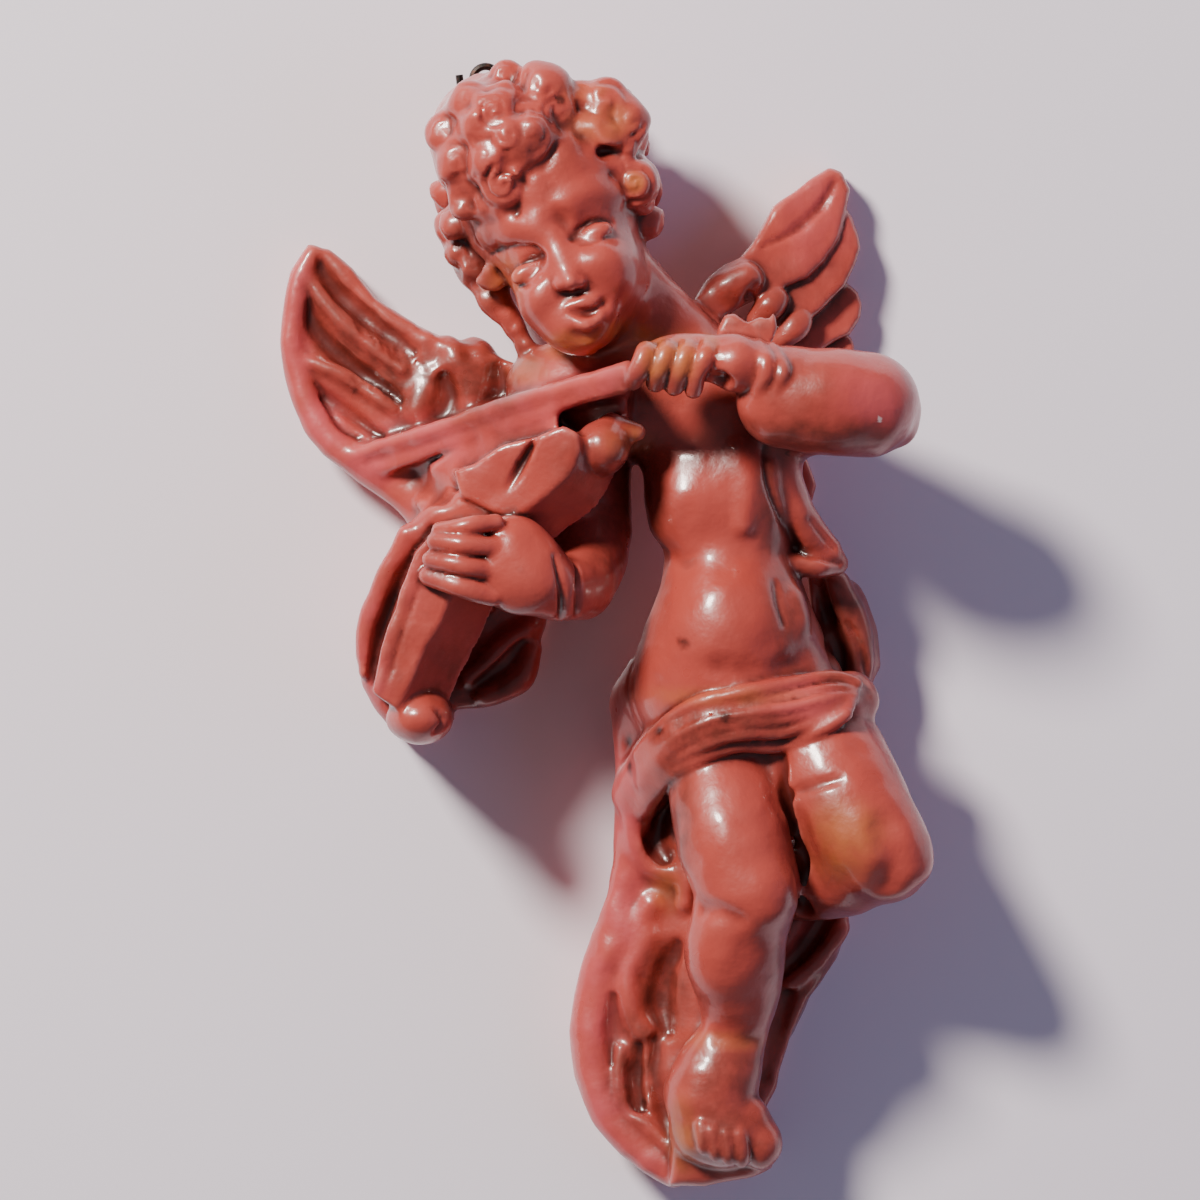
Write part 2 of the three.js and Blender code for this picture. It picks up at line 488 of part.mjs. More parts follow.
// The violin: body, chin end, and the neck down to the scroll, all leaning one way.
function violin() {
  const askew = [0.62, -0.45];
  const body = [
    [-173, 634], [-155, 639], [-130, 656], [-100, 663], [-76, 673], [-65, 667], [-62, 652], [-67, 638], [-76, 625],
    [-92, 612], [-120, 592], [-136, 597], [-165, 612],
  ];
  add(slab(body, [-120, 206, 630], [0.2, 0.1], 50, askew, 3), 2);
  add(slab(body, [-120, 206, 630], [0.2, 0.1], 150, [0, 0], 3), 2);
  cut(ball([-117, 212, 632], [5.5, 11, 34], posed(-29)), 3);
  add(ball([-42, 188, 654], [24, 28, 24]), 6);
  add(limb([[-34, 186, 678, 7], [-12, 184, 668, 8]]), 12);
  const neck = [
    [-186, 585], [-206, 562], [-222, 520], [-236, 478], [-244, 440], [-222, 424], [-211, 446], [-200, 474],
    [-184, 502], [-168, 540], [-150, 560], [-150, 590],
  ];
  add(slab(neck, [-200, 208, 500], [0.05, 0.08], 52, askew, 3), 2);
  add(slab(neck, [-200, 208, 500], [0.05, 0.08], 120, [0, 0], 3), 2);
  furrow([[-196, 548, 1.5, 0], [-212, 508, 2, 0], [-224, 470, 2, 0], [-234, 438, 1.5, 0]], 2);
  add(ball([-202, 166, 417], [30, 38, 24]), 6);
  furrow([[-189, 424, 2.5, 0], [-182, 414, 3, 0], [-188, 406, 2.5, 0]], 3);
}

// The hand round the neck: four fingers laid over the strings.
function neckHand() {
  finger([-136, 588], [-184, 582], 232, 8);
  finger([-138, 567, ], [-188, 571], 234, 9);
  finger([-142, 547], [-192, 556], 232, 9);
  finger([-138, 524], [-194, 541], 226, 10);
}

// The bowing arm crosses in front of the chest, its elbow out to the right.
function bowArm() {
  add(limb([[92, 96, 700, 46], [140, 130, 694, 46], [196, 178, 692, 42]]), 20);
  add(limb([[188, 200, 692, 46], [156, 212, 694, 47], [118, 212, 696, 43]]), 10);
  add(ball([220, 176, 672], [14, 18, 15]), 8);
  add(limb([[126, 214, 716, 27], [96, 226, 722, 23], [74, 232, 728, 22]]), 6);
  add(slab([[56, 738], [60, 760], [66, 770], [74, 771], [85, 763], [96, 768], [104, 766], [109, 773], [111, 758],
    [104, 740]], [85, 214, 755], [0, -0.2], 60, [0, 0], 3), 4);
  add(limb([[106, 226, 743, 4], [114, 245, 728, 6], [115, 252, 716, 6], [108, 248, 700, 5]]), 4);
  add(limb([[95, 226, 746, 4], [101, 248, 730, 7], [100, 252, 716, 7], [94, 244, 702, 5]]), 4);
}

// The hand on the bow: a fist with the fingers curled down over the stick.
function bowHand() {
  add(ball([74, 232, 728], [25, 28, 24]), 8);
  add(ball([34, 224, 732], [44, 24, 22]), 10);
  knuckle([-2, 746], [-15, 708]);
  knuckle([16, 749], [4, 706]);
  knuckle([34, 752], [21, 703]);
  knuckle([51, 752], [38, 700]);
  cut(ball([60, 252, 710], [12, 18, 11]), 6);
}

// The head leans to the left and looks down along the violin.
function head() {
  add(ball(SKULL, [84, 110, 88], posed(20)), 30);
  add(ball([-66, 148, 815], [56, 70, 60], posed(18)), 30);
  add(ball([-64, 184, 762], [33, 34, 25]), 26);
  add(ball([-36, 178, 806], [26, 38, 28]), 20);
  add(ball([-97, 180, 787], [19, 35, 24]), 18);
}

// The face: brows, sockets, lowered lids, a short nose and parted lips.
function face() {
  roll([[-144, 840, 8, -6], [-122, 845, 10, -7], [-100, 848, 9, -7]], 16);
  roll([[-76, 866, 8, -7], [-56, 876, 10, -8], [-34, 876, 9, -8]], 16);
  cut(ball([-108, front(-108, 816) + 9, 816], [23, 12, 9], posed(24)), 9);
  cut(ball([-52, front(-52, 848) + 9, 848], [23, 12, 9], posed(28)), 9);
  cut(ball([-78, front(-78, 850) + 8, 850], [9, 12, 12], posed(20)), 10);
  eyeball(-106, 808, 24);
  eyeball(-49, 841, 28);
  furrow([[-125, 803, 2, 1], [-116, 814, 2.6, 1], [-104, 819, 2.8, 0], [-89, 824, 2, 0]], 3);
  furrow([[-70, 836, 2, 0], [-60, 848, 2.6, 0], [-46, 854, 2.8, 0], [-33, 852, 2, 0]], 3);
  roll([[-86, 838, 8, -7], [-80, 822, 9, -6], [-73, 808, 10, -4]], 14);
  add(ball([-70, front(-70, 800), 799], [11, 11, 9], posed(20)), 8);
  add(ball([-81, front(-81, 797) - 2, 796], [7, 7, 6], posed(20)), 5);
  add(ball([-58, front(-58, 799) - 2, 799], [7, 7, 6], posed(20)), 5);
  add(ball([-58, front(-58, 775) - 12, 775], [24, 14, 15], posed(12)), 14);
  roll([[-76, 775, 2, -1], [-68, 781, 3.6, -1], [-60, 782, 3.6, -1], [-52, 784, 3.6, -1], [-42, 782, 2, -1]], 4);
  roll([[-66, 764, 3, -1], [-55, 763, 5, -1], [-45, 769, 3, -1]], 4);
  furrow([[-70, 772, 1.5, 0], [-60, 773, 3.4, -1], [-51, 775, 3.8, -1], [-42, 778, 2, 0]], 2);
  furrow([[-68, 753, 3, 2], [-57, 751, 4, 2], [-46, 756, 3, 2]], 9);
}

// Thick snail curls: on the crown, over the ears, and round the sides down to the wall.
function hair() {
  add(ball([-132, 122, 922], [62, 96, 66], posed(20)), 10);
  add(ball([-98, 118, 952], [38, 76, 44]), 12);
  add(ball([-122, 162, 904], [32, 52, 44], posed(-20)), 8);
  add(ball([-104, 160, 928], [24, 50, 26], posed(-20)), 8);
  add(ball([-38, 116, 936], [36, 66, 40]), 8);
  add(limb([[-166, 84, 850, 24], [-152, 88, 818, 22], [-134, 94, 788, 17], [-116, 98, 757, 12]]), 10);
  ring(90, 86, 40, 9, -30, 215);
  lock(-94, 972, 27);
  lock(-128, 980, 18);
  lock(-160, 958, 22);
  lock(-182, 932, 20);
  lock(-132, 958, 22);
  curl(-81, 950, 15, -1);
  lock(-106, 948, 20);
  lock(-94, 924, 14);
  lock(-98, 910, 11);
  lock(-150, 936, 20);
  lock(-104, 926, 20);
  lock(-128, 928, 21);
  lock(-172, 906, 21);
  curl(-144, 908, 22, 1);
  lock(-114, 908, 15);
  lock(-118, 894, 13);
  lock(-162, 882, 20);
  curl(-131, 884, 20, 1);
  lock(-146, 870, 17);
  lock(-130, 866, 12);
  curl(-186, 880, 16, 1);
  lock(-166, 866, 13);
  lock(-38, 958, 27);
  lock(-62, 962, 15);
  lock(-18, 944, 22);
  curl(-40, 932, 20, 1);
  lock(-58, 936, 13);
  lock(-22, 922, 15);
  cut(ball([-39, front(-39, 914), 914], [9, 10, 6]), 4);
  curlAt(-8, 152, 888, 29, 1);
  curlAt(3, 126, 852, 17, -1);
  lock(-30, 902, 12);
  curlAt(-178, 122, 850, 15, -1);
  lock(-170, 828, 14);
  curlAt(-142, 138, 797, 15, 1);
  lock(-154, 810, 13);
  lock(-140, 782, 12);
  lock(-126, 768, 11);
  lock(-117, 752, 10);
  cut(limb([[-147, 150, 838, 5], [-155, 150, 822, 8], [-146, 150, 812, 5]]), 5);
  cut(ball([-126, 156, 782], [9, 16, 7], posed(60)), 4);
  cut(ball([-146, 5, 990], [14, 22, 15]), 5);
}

function modelled() {
  leftWing();
  rightWing();
  drapery();
  torso();
  legs();
  foot();
  tunic();
  sash();
  sleeve();
  bow();
  neckArm();
  violin();
  neckHand();
  bowArm();
  bowHand();
  head();
  face();
  hair();
  work({ low: LOW, high: HIGH, at: (u, d) => -d - BEHIND }, 0, Math.max);
}

// The surface of the clay, as triangles: each cube of samples is six tetrahedra, each cut by one or two.
const CORNERS = [[0, 0, 0], [1, 0, 0], [0, 1, 0], [1, 1, 0], [0, 0, 1], [1, 0, 1], [0, 1, 1], [1, 1, 1]];
const TETRAHEDRA = [[0, 1, 3, 7], [0, 3, 2, 7], [0, 2, 6, 7], [0, 6, 4, 7], [0, 4, 5, 7], [0, 5, 1, 7]];
function surface() {
  const points = [];
  const faces = [];
  const made = new Map();
  const place = (n) => [n % COUNT[0], Math.floor(n / COUNT[0]) % COUNT[1], Math.floor(n / COUNT[0] / COUNT[1])];
  const crossing = (a, b) => {
    const [m, n] = a < b ? [a, b] : [b, a];
    const key = m * 2 ** 26 + n;
    if (!made.has(key)) {
      const t = Math.min(0.98, Math.max(0.02, clay[m] / (clay[m] - clay[n])));
      made.set(key, points.length);
      points.push(mix(place(m), place(n), t).map((x, i) => LOW[i] + x * GRID));
    }
    return made.get(key);
  };
  const face = (a, b, c, outward) => {
    const normal = cross(minus(points[b], points[a]), minus(points[c], points[a]));
    faces.push(dot(normal, outward) > 0 ? [a, b, c] : [a, c, b]);
  };
  for (let k = 0; k < COUNT[2] - 1; k++)
    for (let j = 0; j < COUNT[1] - 1; j++)
      for (let i = 0; i < COUNT[0] - 1; i++) {
        const cube = CORNERS.map(([x, y, z]) => sample(i + x, j + y, k + z));
        const full = cube.filter((n) => clay[n] < 0).length;
        if (full === 0 || full === 8) continue;
        for (const tetrahedron of TETRAHEDRA) {
          const inside = tetrahedron.map((c) => cube[c]).filter((n) => clay[n] < 0);
          const outside = tetrahedron.map((c) => cube[c]).filter((n) => clay[n] >= 0);
          if (!inside.length || !outside.length) continue;
          const middle = (set) => [0, 1, 2].map((x) => set.reduce((sum, n) => sum + place(n)[x], 0) / set.length);
          const outward = minus(middle(outside), middle(inside));
          const [a, b] = inside.length === 3 ? [outside, inside] : [inside, outside];
          if (a.length === 1) {
            face(crossing(a[0], b[0]), crossing(a[0], b[1]), crossing(a[0], b[2]), outward);
          } else {
            const ring = [crossing(a[0], b[0]), crossing(a[0], b[1]), crossing(a[1], b[1]), crossing(a[1], b[0])];
            face(ring[0], ring[1], ring[2], outward);
            face(ring[0], ring[2], ring[3], outward);
          }
        }
      }
  return { points, faces };
}

// The faces of the largest body alone.
function largest({ points, faces }) {
  const parent = points.map((_, i) => i);
  const root = (i) => {
    while (parent[i] !== i) i = parent[i] = parent[parent[i]];
    return i;
  };
  for (const [a, b, c] of faces) {
    parent[root(a)] = root(b);
    parent[root(b)] = root(c);
  }
  const size = new Map();
  for (const [a] of faces) size.set(root(a), (size.get(root(a)) ?? 0) + 1);
  const keep = [...size].sort((x, y) => y[1] - x[1])[0][0];
  return { points, faces: faces.filter(([a]) => root(a) === keep) };
}

// Thins the triangles by joining the two ends of the edge that moves the surface least, again and again.
// Each point carries the sum of its planes as a quadric: the upper half of a symmetric 4 x 4 matrix.
const QUADRIC = [[0, 0], [0, 1], [0, 2], [0, 3], [1, 1], [1, 2], [1, 3], [2, 2], [2, 3], [3, 3]];
function thinned({ points, faces }, target) {
  const quadrics = points.map(() => new Float64Array(10));
  const around = points.map(() => new Set());
  const normal = ([a, b, c]) => cross(minus(points[b], points[a]), minus(points[c], points[a]));
  faces.forEach((face, f) => {
    const n = normal(face);
    const area = Math.hypot(...n) || 1e-12;
    const plane = [...n.map((x) => x / area), -dot(n, points[face[0]]) / area];
    for (const v of face) {
      around[v].add(f);
      QUADRIC.forEach(([i, j], q) => (quadrics[v][q] += plane[i] * plane[j] * area));
    }
  });
  const error = (q, [x, y, z]) => q[0] * x * x + q[4] * y * y + q[7] * z * z + q[9]
    + 2 * (q[1] * x * y + q[2] * x * z + q[5] * y * z + q[3] * x + q[6] * y + q[8] * z);
  const stamp = new Int32Array(points.length);
  const heap = [];
  const push = (item) => {
    let i = heap.push(item) - 1;
    while (i > 0) {
      const up = (i - 1) >> 1;
      if (heap[up].cost <= heap[i].cost) break;
      [heap[up], heap[i]] = [heap[i], heap[up]];
      i = up;
    }
  };
  const pop = () => {
    const top = heap[0];
    const last = heap.pop();
    if (heap.length) {
      heap[0] = last;
      for (let i = 0; ;) {
        let least = i;
        for (const child of [2 * i + 1, 2 * i + 2])
          if (child < heap.length && heap[child].cost < heap[least].cost) least = child;
        if (least === i) break;
        [heap[least], heap[i]] = [heap[i], heap[least]];
        i = least;
      }
    }
    return top;
  };
  const offer = (a, b) => {
    const q = quadrics[a].map((x, i) => x + quadrics[b][i]);
    const rows = [[q[0], q[1], q[2]], [q[1], q[4], q[5]], [q[2], q[5], q[7]]];
    const right = [-q[3], -q[6], -q[8]];
    const solve = dot(rows[0], cross(rows[1], rows[2]));
    const half = mix(points[a], points[b], 0.5);
    let best = half;
    if (Math.abs(solve) > 1e-6 * (q[0] + q[4] + q[7]) ** 3) {
      const columns = [cross(rows[1], rows[2]), cross(rows[2], rows[0]), cross(rows[0], rows[1])];
      const exact = [0, 1, 2].map((i) => columns.reduce((sum, c, j) => sum + c[i] * right[j], 0) / solve);
      if (Math.hypot(...minus(exact, half)) < 2 * Math.hypot(...minus(points[a], points[b]))) best = exact;
    }
    const length = Math.hypot(...minus(points[a], points[b]));
    push({ a, b, best, cost: error(q, best) + 1e-4 * length ** 3, at: stamp[a] + stamp[b] });
  };
  const neighbours = (v) => new Set([...around[v]].flatMap((f) => faces[f]).filter((n) => n !== v));
  faces.forEach(([a, b, c]) => [[a, b], [b, c], [c, a]].forEach(([m, n]) => m < n && offer(m, n)));
  let left = faces.length;
  while (left > target && heap.length) {
    const { a, b, best, at } = pop();
    if (!around[a].size || !around[b].size || at !== stamp[a] + stamp[b]) continue;
    const shared = [...around[a]].filter((f) => around[b].has(f));
    const [mine, theirs] = [neighbours(a), neighbours(b)];
    if (shared.length !== 2 || [...mine].filter((n) => theirs.has(n)).length !== 2) continue;
    const moved = [...around[a], ...around[b]].filter((f) => !shared.includes(f));
    const turned = moved.some((f) => {
      const before = normal(faces[f]);
      const after = faces[f].map((v) => (v === a || v === b ? best : points[v]));
      const now = cross(minus(after[1], after[0]), minus(after[2], after[0]));
      return dot(before, now) < 0.25 * Math.hypot(...before) * Math.hypot(...now) || Math.hypot(...now) < 0.05;
    });
    if (turned) continue;
    points[a] = best;
    quadrics[a].forEach((x, i) => (quadrics[a][i] = x + quadrics[b][i]));
    for (const f of shared) {
      for (const v of faces[f]) around[v].delete(f);
      faces[f] = null;
      left--;
    }
    for (const f of around[b]) {
      faces[f] = faces[f].map((v) => (v === b ? a : v));
      around[a].add(f);
    }
    around[b].clear();
    stamp[a]++;
    for (const n of neighbours(a)) offer(a, n);
  }
  return { points, faces: faces.filter(Boolean) };
}

// The casting and its wire, in millimetres from the middle of the eye
const across = HEIGHT / SQUARES;
const outward = RELIEF / ARM_DEPTH;
const placed = ([u, d, w]) => [(u - EYE_AT[0]) * across, -d * outward, (w - EYE_AT[1]) * across];

const wasm = await Module();
wasm.setup();
function solid(geometry) {
  const bare = geometry.clone();
  bare.deleteAttribute("normal");
  bare.deleteAttribute("uv");
  const merged = mergeVertices(bare, 1e-4);
  const [vertProperties, triVerts] = [merged.attributes.position.array, merged.index.array];
  return new wasm.Manifold(new wasm.Mesh({ numProp: 3, vertProperties, triVerts }));
}
function shell(body) {
  const { vertProperties, triVerts } = body.getMesh();
  const geometry = new THREE.BufferGeometry();
  geometry.setAttribute("position", new THREE.BufferAttribute(vertProperties, 3));
  geometry.setIndex(new THREE.BufferAttribute(triVerts, 1));
  geometry.computeVertexNormals();
  return geometry;
}

function figure() {
  modelled();
  const { points, faces } = thinned(largest(surface()), TRIANGLES);
  const geometry = new THREE.BufferGeometry();
  // y runs the other way from d, so each triangle is turned over
  geometry.setAttribute("position", new THREE.Float32BufferAttribute(points.flatMap(placed), 3));
  geometry.setIndex(faces.flatMap(([a, b, c]) => [a, c, b]));
  return mergeVertices(geometry, 1e-5);
}

// The wire's path: up from the plaster, round the eye, down, and back out to a cut end.
function wirePath() {
  const ring = (EYE_BORE + WIRE) / 2;
  const HAIRPIN = 0.75;
  const PIN_DROP = 2.9;
  const TAIL = [-0.45, 0.7];
  const LEG_IN = 0.3; // the buried leg ends this share of the ring's radius nearer its middle
  const path = [[ring * (1 - LEG_IN), -ring - SHANK], [ring, -ring]];
  for (let angle = 0; angle <= 180; angle += 30) {
    path.push([ring * Math.cos(radians(angle)), ring * Math.sin(radians(angle))]);
  }
  for (let angle = 0; angle <= 180; angle += 45) {
    path.push([-ring - HAIRPIN * (1 - Math.cos(radians(angle))), -PIN_DROP - HAIRPIN * Math.sin(radians(angle))]);
  }
  path.push([-ring - 2 * HAIRPIN + TAIL[0], TAIL[1]]);
  return new THREE.CatmullRomCurve3(path.map(([x, z]) => new THREE.Vector3(x, -WIRE_STAND_OFF, z)), false, "centripetal");
}
function wire(diameter) {
  const section = new THREE.Shape().absarc(0, 0, diameter / 2, 0, 2 * Math.PI);
  return new THREE.ExtrudeGeometry(section, { steps: 48, curveSegments: 4, extrudePath: wirePath() });
}

const MARGIN = 5;
const wall = new THREE.BoxGeometry(2 * HEIGHT, 4 * MARGIN, 3 * HEIGHT).translate(0, 2 * MARGIN, 0);
const casting = solid(figure()).subtract(solid(wall)).subtract(solid(wire(WIRE + 2 * GAP)));

const plaster = new THREE.MeshStandardMaterial({ color: 0xc4574a, roughness: 0.28, metalness: 0 });
const steel = new THREE.MeshStandardMaterial({ color: 0x2b2524, roughness: 0.5, metalness: 0.8 });
const cherub = new THREE.Mesh(shell(casting), plaster);
cherub.name = "cherub_casting";
const eye = new THREE.Mesh(wire(WIRE), steel);
eye.name = "hanger_wire";

const plaque = new THREE.Group();
plaque.add(cherub, eye);
export default plaque;
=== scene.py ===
"""A cherub wall plaque: a cast plaster figure in gloss paint, and the wire eye that it hangs from."""
import math

import bmesh
import bpy
import numpy as np
import openvdb
from mathutils import Matrix, Vector


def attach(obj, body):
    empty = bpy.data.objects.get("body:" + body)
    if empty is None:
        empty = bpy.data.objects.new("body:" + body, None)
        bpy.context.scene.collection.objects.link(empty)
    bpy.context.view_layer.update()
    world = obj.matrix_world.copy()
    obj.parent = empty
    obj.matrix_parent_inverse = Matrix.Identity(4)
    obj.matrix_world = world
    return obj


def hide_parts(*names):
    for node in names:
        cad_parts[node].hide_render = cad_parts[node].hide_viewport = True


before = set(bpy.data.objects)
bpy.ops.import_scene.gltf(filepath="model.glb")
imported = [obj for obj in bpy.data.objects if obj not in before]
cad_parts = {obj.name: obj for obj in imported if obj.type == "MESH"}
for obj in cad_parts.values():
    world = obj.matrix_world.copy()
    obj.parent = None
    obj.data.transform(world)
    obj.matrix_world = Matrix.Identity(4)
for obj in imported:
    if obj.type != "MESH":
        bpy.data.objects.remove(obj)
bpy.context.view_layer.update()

# The casting. The figure, its wings, violin and drapery are one piece of plaster from a flexible mould, so
# the back is flat and nothing is undercut far. It is modelled here as clay: a box of samples, each of them
# the distance to the surface, to which rounded forms are added and from which furrows are cut.
HEIGHT = 0.165  # of the figure, in metres, from the foot of the drapery to the top of the hair
UNIT = HEIGHT / 1000  # points are [u, d, w] in thousandths of it: right, out from the wall, up
EYE_AT = [-146, 0, 984]  # the middle of the wire eye, which is the part's origin
BEHIND = 10  # the clay goes this far behind the wall, and is cut flat there at the end
GRID = 2.6  # spacing of the samples
FAR = 1e3  # the distance at a sample that no shape has reached yet
TO_WALL = 300  # a plate this thick reaches the wall wherever its face is
LOW = np.array([-345.0, -BEHIND - 2 * GRID, -14.0])  # two corners of the box of clay
HIGH = np.array([262.0, 318.0, 1014.0])
COUNT = np.ceil((HIGH - LOW) / GRID).astype(int) + 1
clay = np.full(COUNT, FAR, dtype=np.float32)
rulers = [(LOW[i] + GRID * np.arange(COUNT[i])).astype(np.float32) for i in range(3)]


def patch(low, high, reach):
    """The part of the clay that a shape between two corners can touch."""
    first = np.maximum(0, np.floor((np.array(low) - reach - LOW) / GRID).astype(int))
    last = np.minimum(COUNT - 1, np.ceil((np.array(high) + reach - LOW) / GRID).astype(int))
    return tuple(slice(a, max(a, b + 1)) for a, b in zip(first, last))


def points_in(where):
    """The right, out and up places of the samples in a part of the clay."""
    u = rulers[0][where[0]][:, None, None]
    d = rulers[1][where[1]][None, :, None]
    w = rulers[2][where[2]][None, None, :]
    return u, d, w


def work(shape, reach, merge):
    """Merges the distance to a shape into the clay that lies within reach of it."""
    low, high, away = shape
    where = patch(low, high, reach)
    if all(s.stop > s.start for s in where):
        clay[where] = merge(clay[where], away(where, reach))


def add(shape, soft=3):
    """Joins a shape to the clay, with a fillet about as wide as soft where the two meet."""
    def merge(a, b):
        near = np.maximum(0, soft - np.abs(a - b))
        return np.minimum(a, b) - near * near / (4 * soft)
    work(shape, soft + 2 * GRID, merge)


def cut(shape, soft=3):
    """Takes a shape out of the clay, with an edge rounded about as wide as soft."""
    def merge(a, b):
        near = np.maximum(0, soft - np.abs(a + b))
        return np.maximum(a, -b) + near * near / (4 * soft)
    work(shape, soft + 2 * GRID, merge)


def slab(outline, face, slope=(0, 0), thick=TO_WALL, lean=(0, 0), rounding=0):
    """A plate of [u, w] corners, its face sloped through one point, its sides leaning as they run back."""
    def top(u, w):
        return face[1] + (u - face[0]) * slope[0] + (w - face[2]) * slope[1]
    corners = []
    for u, w in outline:
        corners.append([u, top(u, w), w])
        corners.append([u + lean[0] * thick, top(u, w) - thick, w + lean[1] * thick])

    def away(where, reach):
        u, d, w = points_in(where)
        sunk = top(u, w) - d
        x, y = (u - lean[0] * sunk, w - lean[1] * sunk) if any(lean) else (u + 0 * w, w + 0 * u)
        square = np.full(np.broadcast(x, y).shape, FAR * FAR, dtype=np.float32)
        inside = np.zeros(square.shape, dtype=bool)
        for (bx, by), (ax, ay) in zip(outline, outline[1:] + outline[:1]):
            ex, ey = bx - ax, by - ay
            t = np.clip(((x - ax) * ex + (y - ay) * ey) / (ex * ex + ey * ey), 0, 1)
            square = np.minimum(square, (x - ax - ex * t) ** 2 + (y - ay - ey * t) ** 2)
            if ay != by:
                inside ^= ((ay > y) != (by > y)) & (x < ax + ex * (y - ay) / ey)
        sides = np.where(inside, -1, 1) * np.sqrt(square) + rounding
        ends = np.maximum(-sunk, sunk - thick) / math.hypot(1, *slope) + rounding
        outside = np.hypot(np.maximum(0, sides), np.maximum(0, ends))
        return np.minimum(0, np.maximum(sides, ends)) + outside - rounding
    return np.min(corners, axis=0), np.max(corners, axis=0), away


def eased(stations, steps=7):
    """A smooth path through rows of numbers, with a few steps between each two."""
    rows = [np.array(s, dtype=float) for s in stations]
    if len(rows) < 3:
        return rows
    made = []
    for i in range(len(rows) - 1):
        b, c = rows[i], rows[i + 1]
        a = rows[i - 1] if i else b
        e = rows[i + 2] if i + 2 < len(rows) else c
        leave, arrive = (c - a) / 2, (e - b) / 2
        for s in range(steps):
            t = s / steps
            made.append(b + leave * t + (3 * (c - b) - 2 * leave - arrive) * t * t
                        + (2 * (b - c) + leave + arrive) * t ** 3)
    return made + [rows[-1]]


def chained(path, girth, link):
    """A form along a path, each two of whose stations are joined by a link."""
    low = np.min([p[:3] for p in path], axis=0) - girth
    high = np.max([p[:3] for p in path], axis=0) + girth

    def away(where, reach):
        best = np.full([s.stop - s.start for s in where], FAR, dtype=np.float32)
        for a, b in zip(path, path[1:]):
            box = patch(np.minimum(a[:3], b[:3]) - girth, np.maximum(a[:3], b[:3]) + girth, reach + 2 * GRID)
            box = [slice(max(s.start, o.start), min(s.stop, o.stop)) for s, o in zip(box, where)]
            if any(s.stop <= s.start for s in box):
                continue
            local = tuple(slice(s.start - o.start, s.stop - o.start) for s, o in zip(box, where))
            best[local] = np.minimum(best[local], link(a, b, *points_in(box)))
        return best
    return low, high, away


def limb(stations):
    """A round form along [u, d, w, radius] stations."""
    path = eased(stations)

    def link(a, b, u, d, w):
        run = b[:3] - a[:3]
        x, y, z = u - a[0], d - a[1], w - a[2]
        t = np.clip((x * run[0] + y * run[1] + z * run[2]) / (float(run @ run) or 1.0), 0, 1)
        away = np.sqrt((x - run[0] * t) ** 2 + (y - run[1] * t) ** 2 + (z - run[2] * t) ** 2)
        return away - a[3] - (b[3] - a[3]) * t
    return chained(path, max(p[3] for p in path), link)


def front(u, w):
    """How far out from the wall the foremost clay stands at a place."""
    x, z = (u - LOW[0]) / GRID, (w - LOW[2]) / GRID
    i, k = int(x), int(z)
    s, t = x - i, z - k
    column = ((clay[i, :, k] * (1 - s) + clay[i + 1, :, k] * s) * (1 - t)
              + (clay[i, :, k + 1] * (1 - s) + clay[i + 1, :, k + 1] * s) * t)
    inside = np.nonzero(column < 0)[0]
    if not len(inside):
        return 0.0
    j = inside[-1]
    return float(LOW[1] + (j + column[j] / (column[j] - column[j + 1])) * GRID)


def laid(points):
    """A round form laid on the front of the clay, along [u, w, radius, lift] points."""
    return limb([[u, front(u, w) + lift, w, radius] for u, w, radius, lift in points])


def roll(points, soft=4):
    """A raised fold or lip, along [u, w, radius, lift] points."""
    add(laid(points), soft)


def furrow(points, soft=3):
    """A groove, along [u, w, radius, lift] points."""
    cut(laid(points), soft)


# The left wing. It is cast with the body, low against the wall, and its long feathers are rounded furrows
# pressed side by side, with a broad smooth one round their tips and short barbs where they leave the
# shoulder.
def barbs(points, count, girth, reach):
    """Short nicks across the feathers, spread evenly along a line."""
    path = eased(points)
    for i in range(count):
        place = i / (count - 1) * (len(path) - 1)
        step = min(int(place), len(path) - 2)
        u, w = path[step] + (path[step + 1] - path[step]) * (place - step)
        furrow([[u - reach[0], w + reach[1], girth, 0], [u + reach[0], w - reach[1], girth, 0]], 2)


chance = np.random.default_rng(7)


def uneven(shape, size):
    """Smooth random lumps, about size apart."""
    cells = [int(n * GRID / size) + 3 for n in shape]
    field = chance.standard_normal(cells).astype(np.float32)
    for axis in range(3):
        place = np.arange(shape[axis]) * GRID / size
        first = place.astype(int)
        t = place - first
        t = (t * t * (3 - 2 * t)).astype(np.float32)
        t = t.reshape([-1 if i == axis else 1 for i in range(3)])
        field = np.take(field, first, axis) * (1 - t) + np.take(field, first + 1, axis) * t
    return field


def faded(x, ends, edge):
    """How much an effect takes hold, from nothing at two ends to all of it between them."""
    return np.clip(np.minimum(x - ends[0], ends[1] - x) / edge, 0, 1)


def rough(across, up, size, depth):
    """Makes a part of the clay uneven, fading out at the edges of the part and at the wall."""
    edge, low_relief = 14, 20
    where = patch([across[0], 0, up[0]], [across[1], HIGH[1], up[1]], 0)
    u, d, w = points_in(where)
    lumps = uneven([s.stop - s.start for s in where], size)
    clay[where] += depth * lumps * faded(u, across, edge) * faded(w, up, edge) * np.clip(d / low_relief, 0, 1)


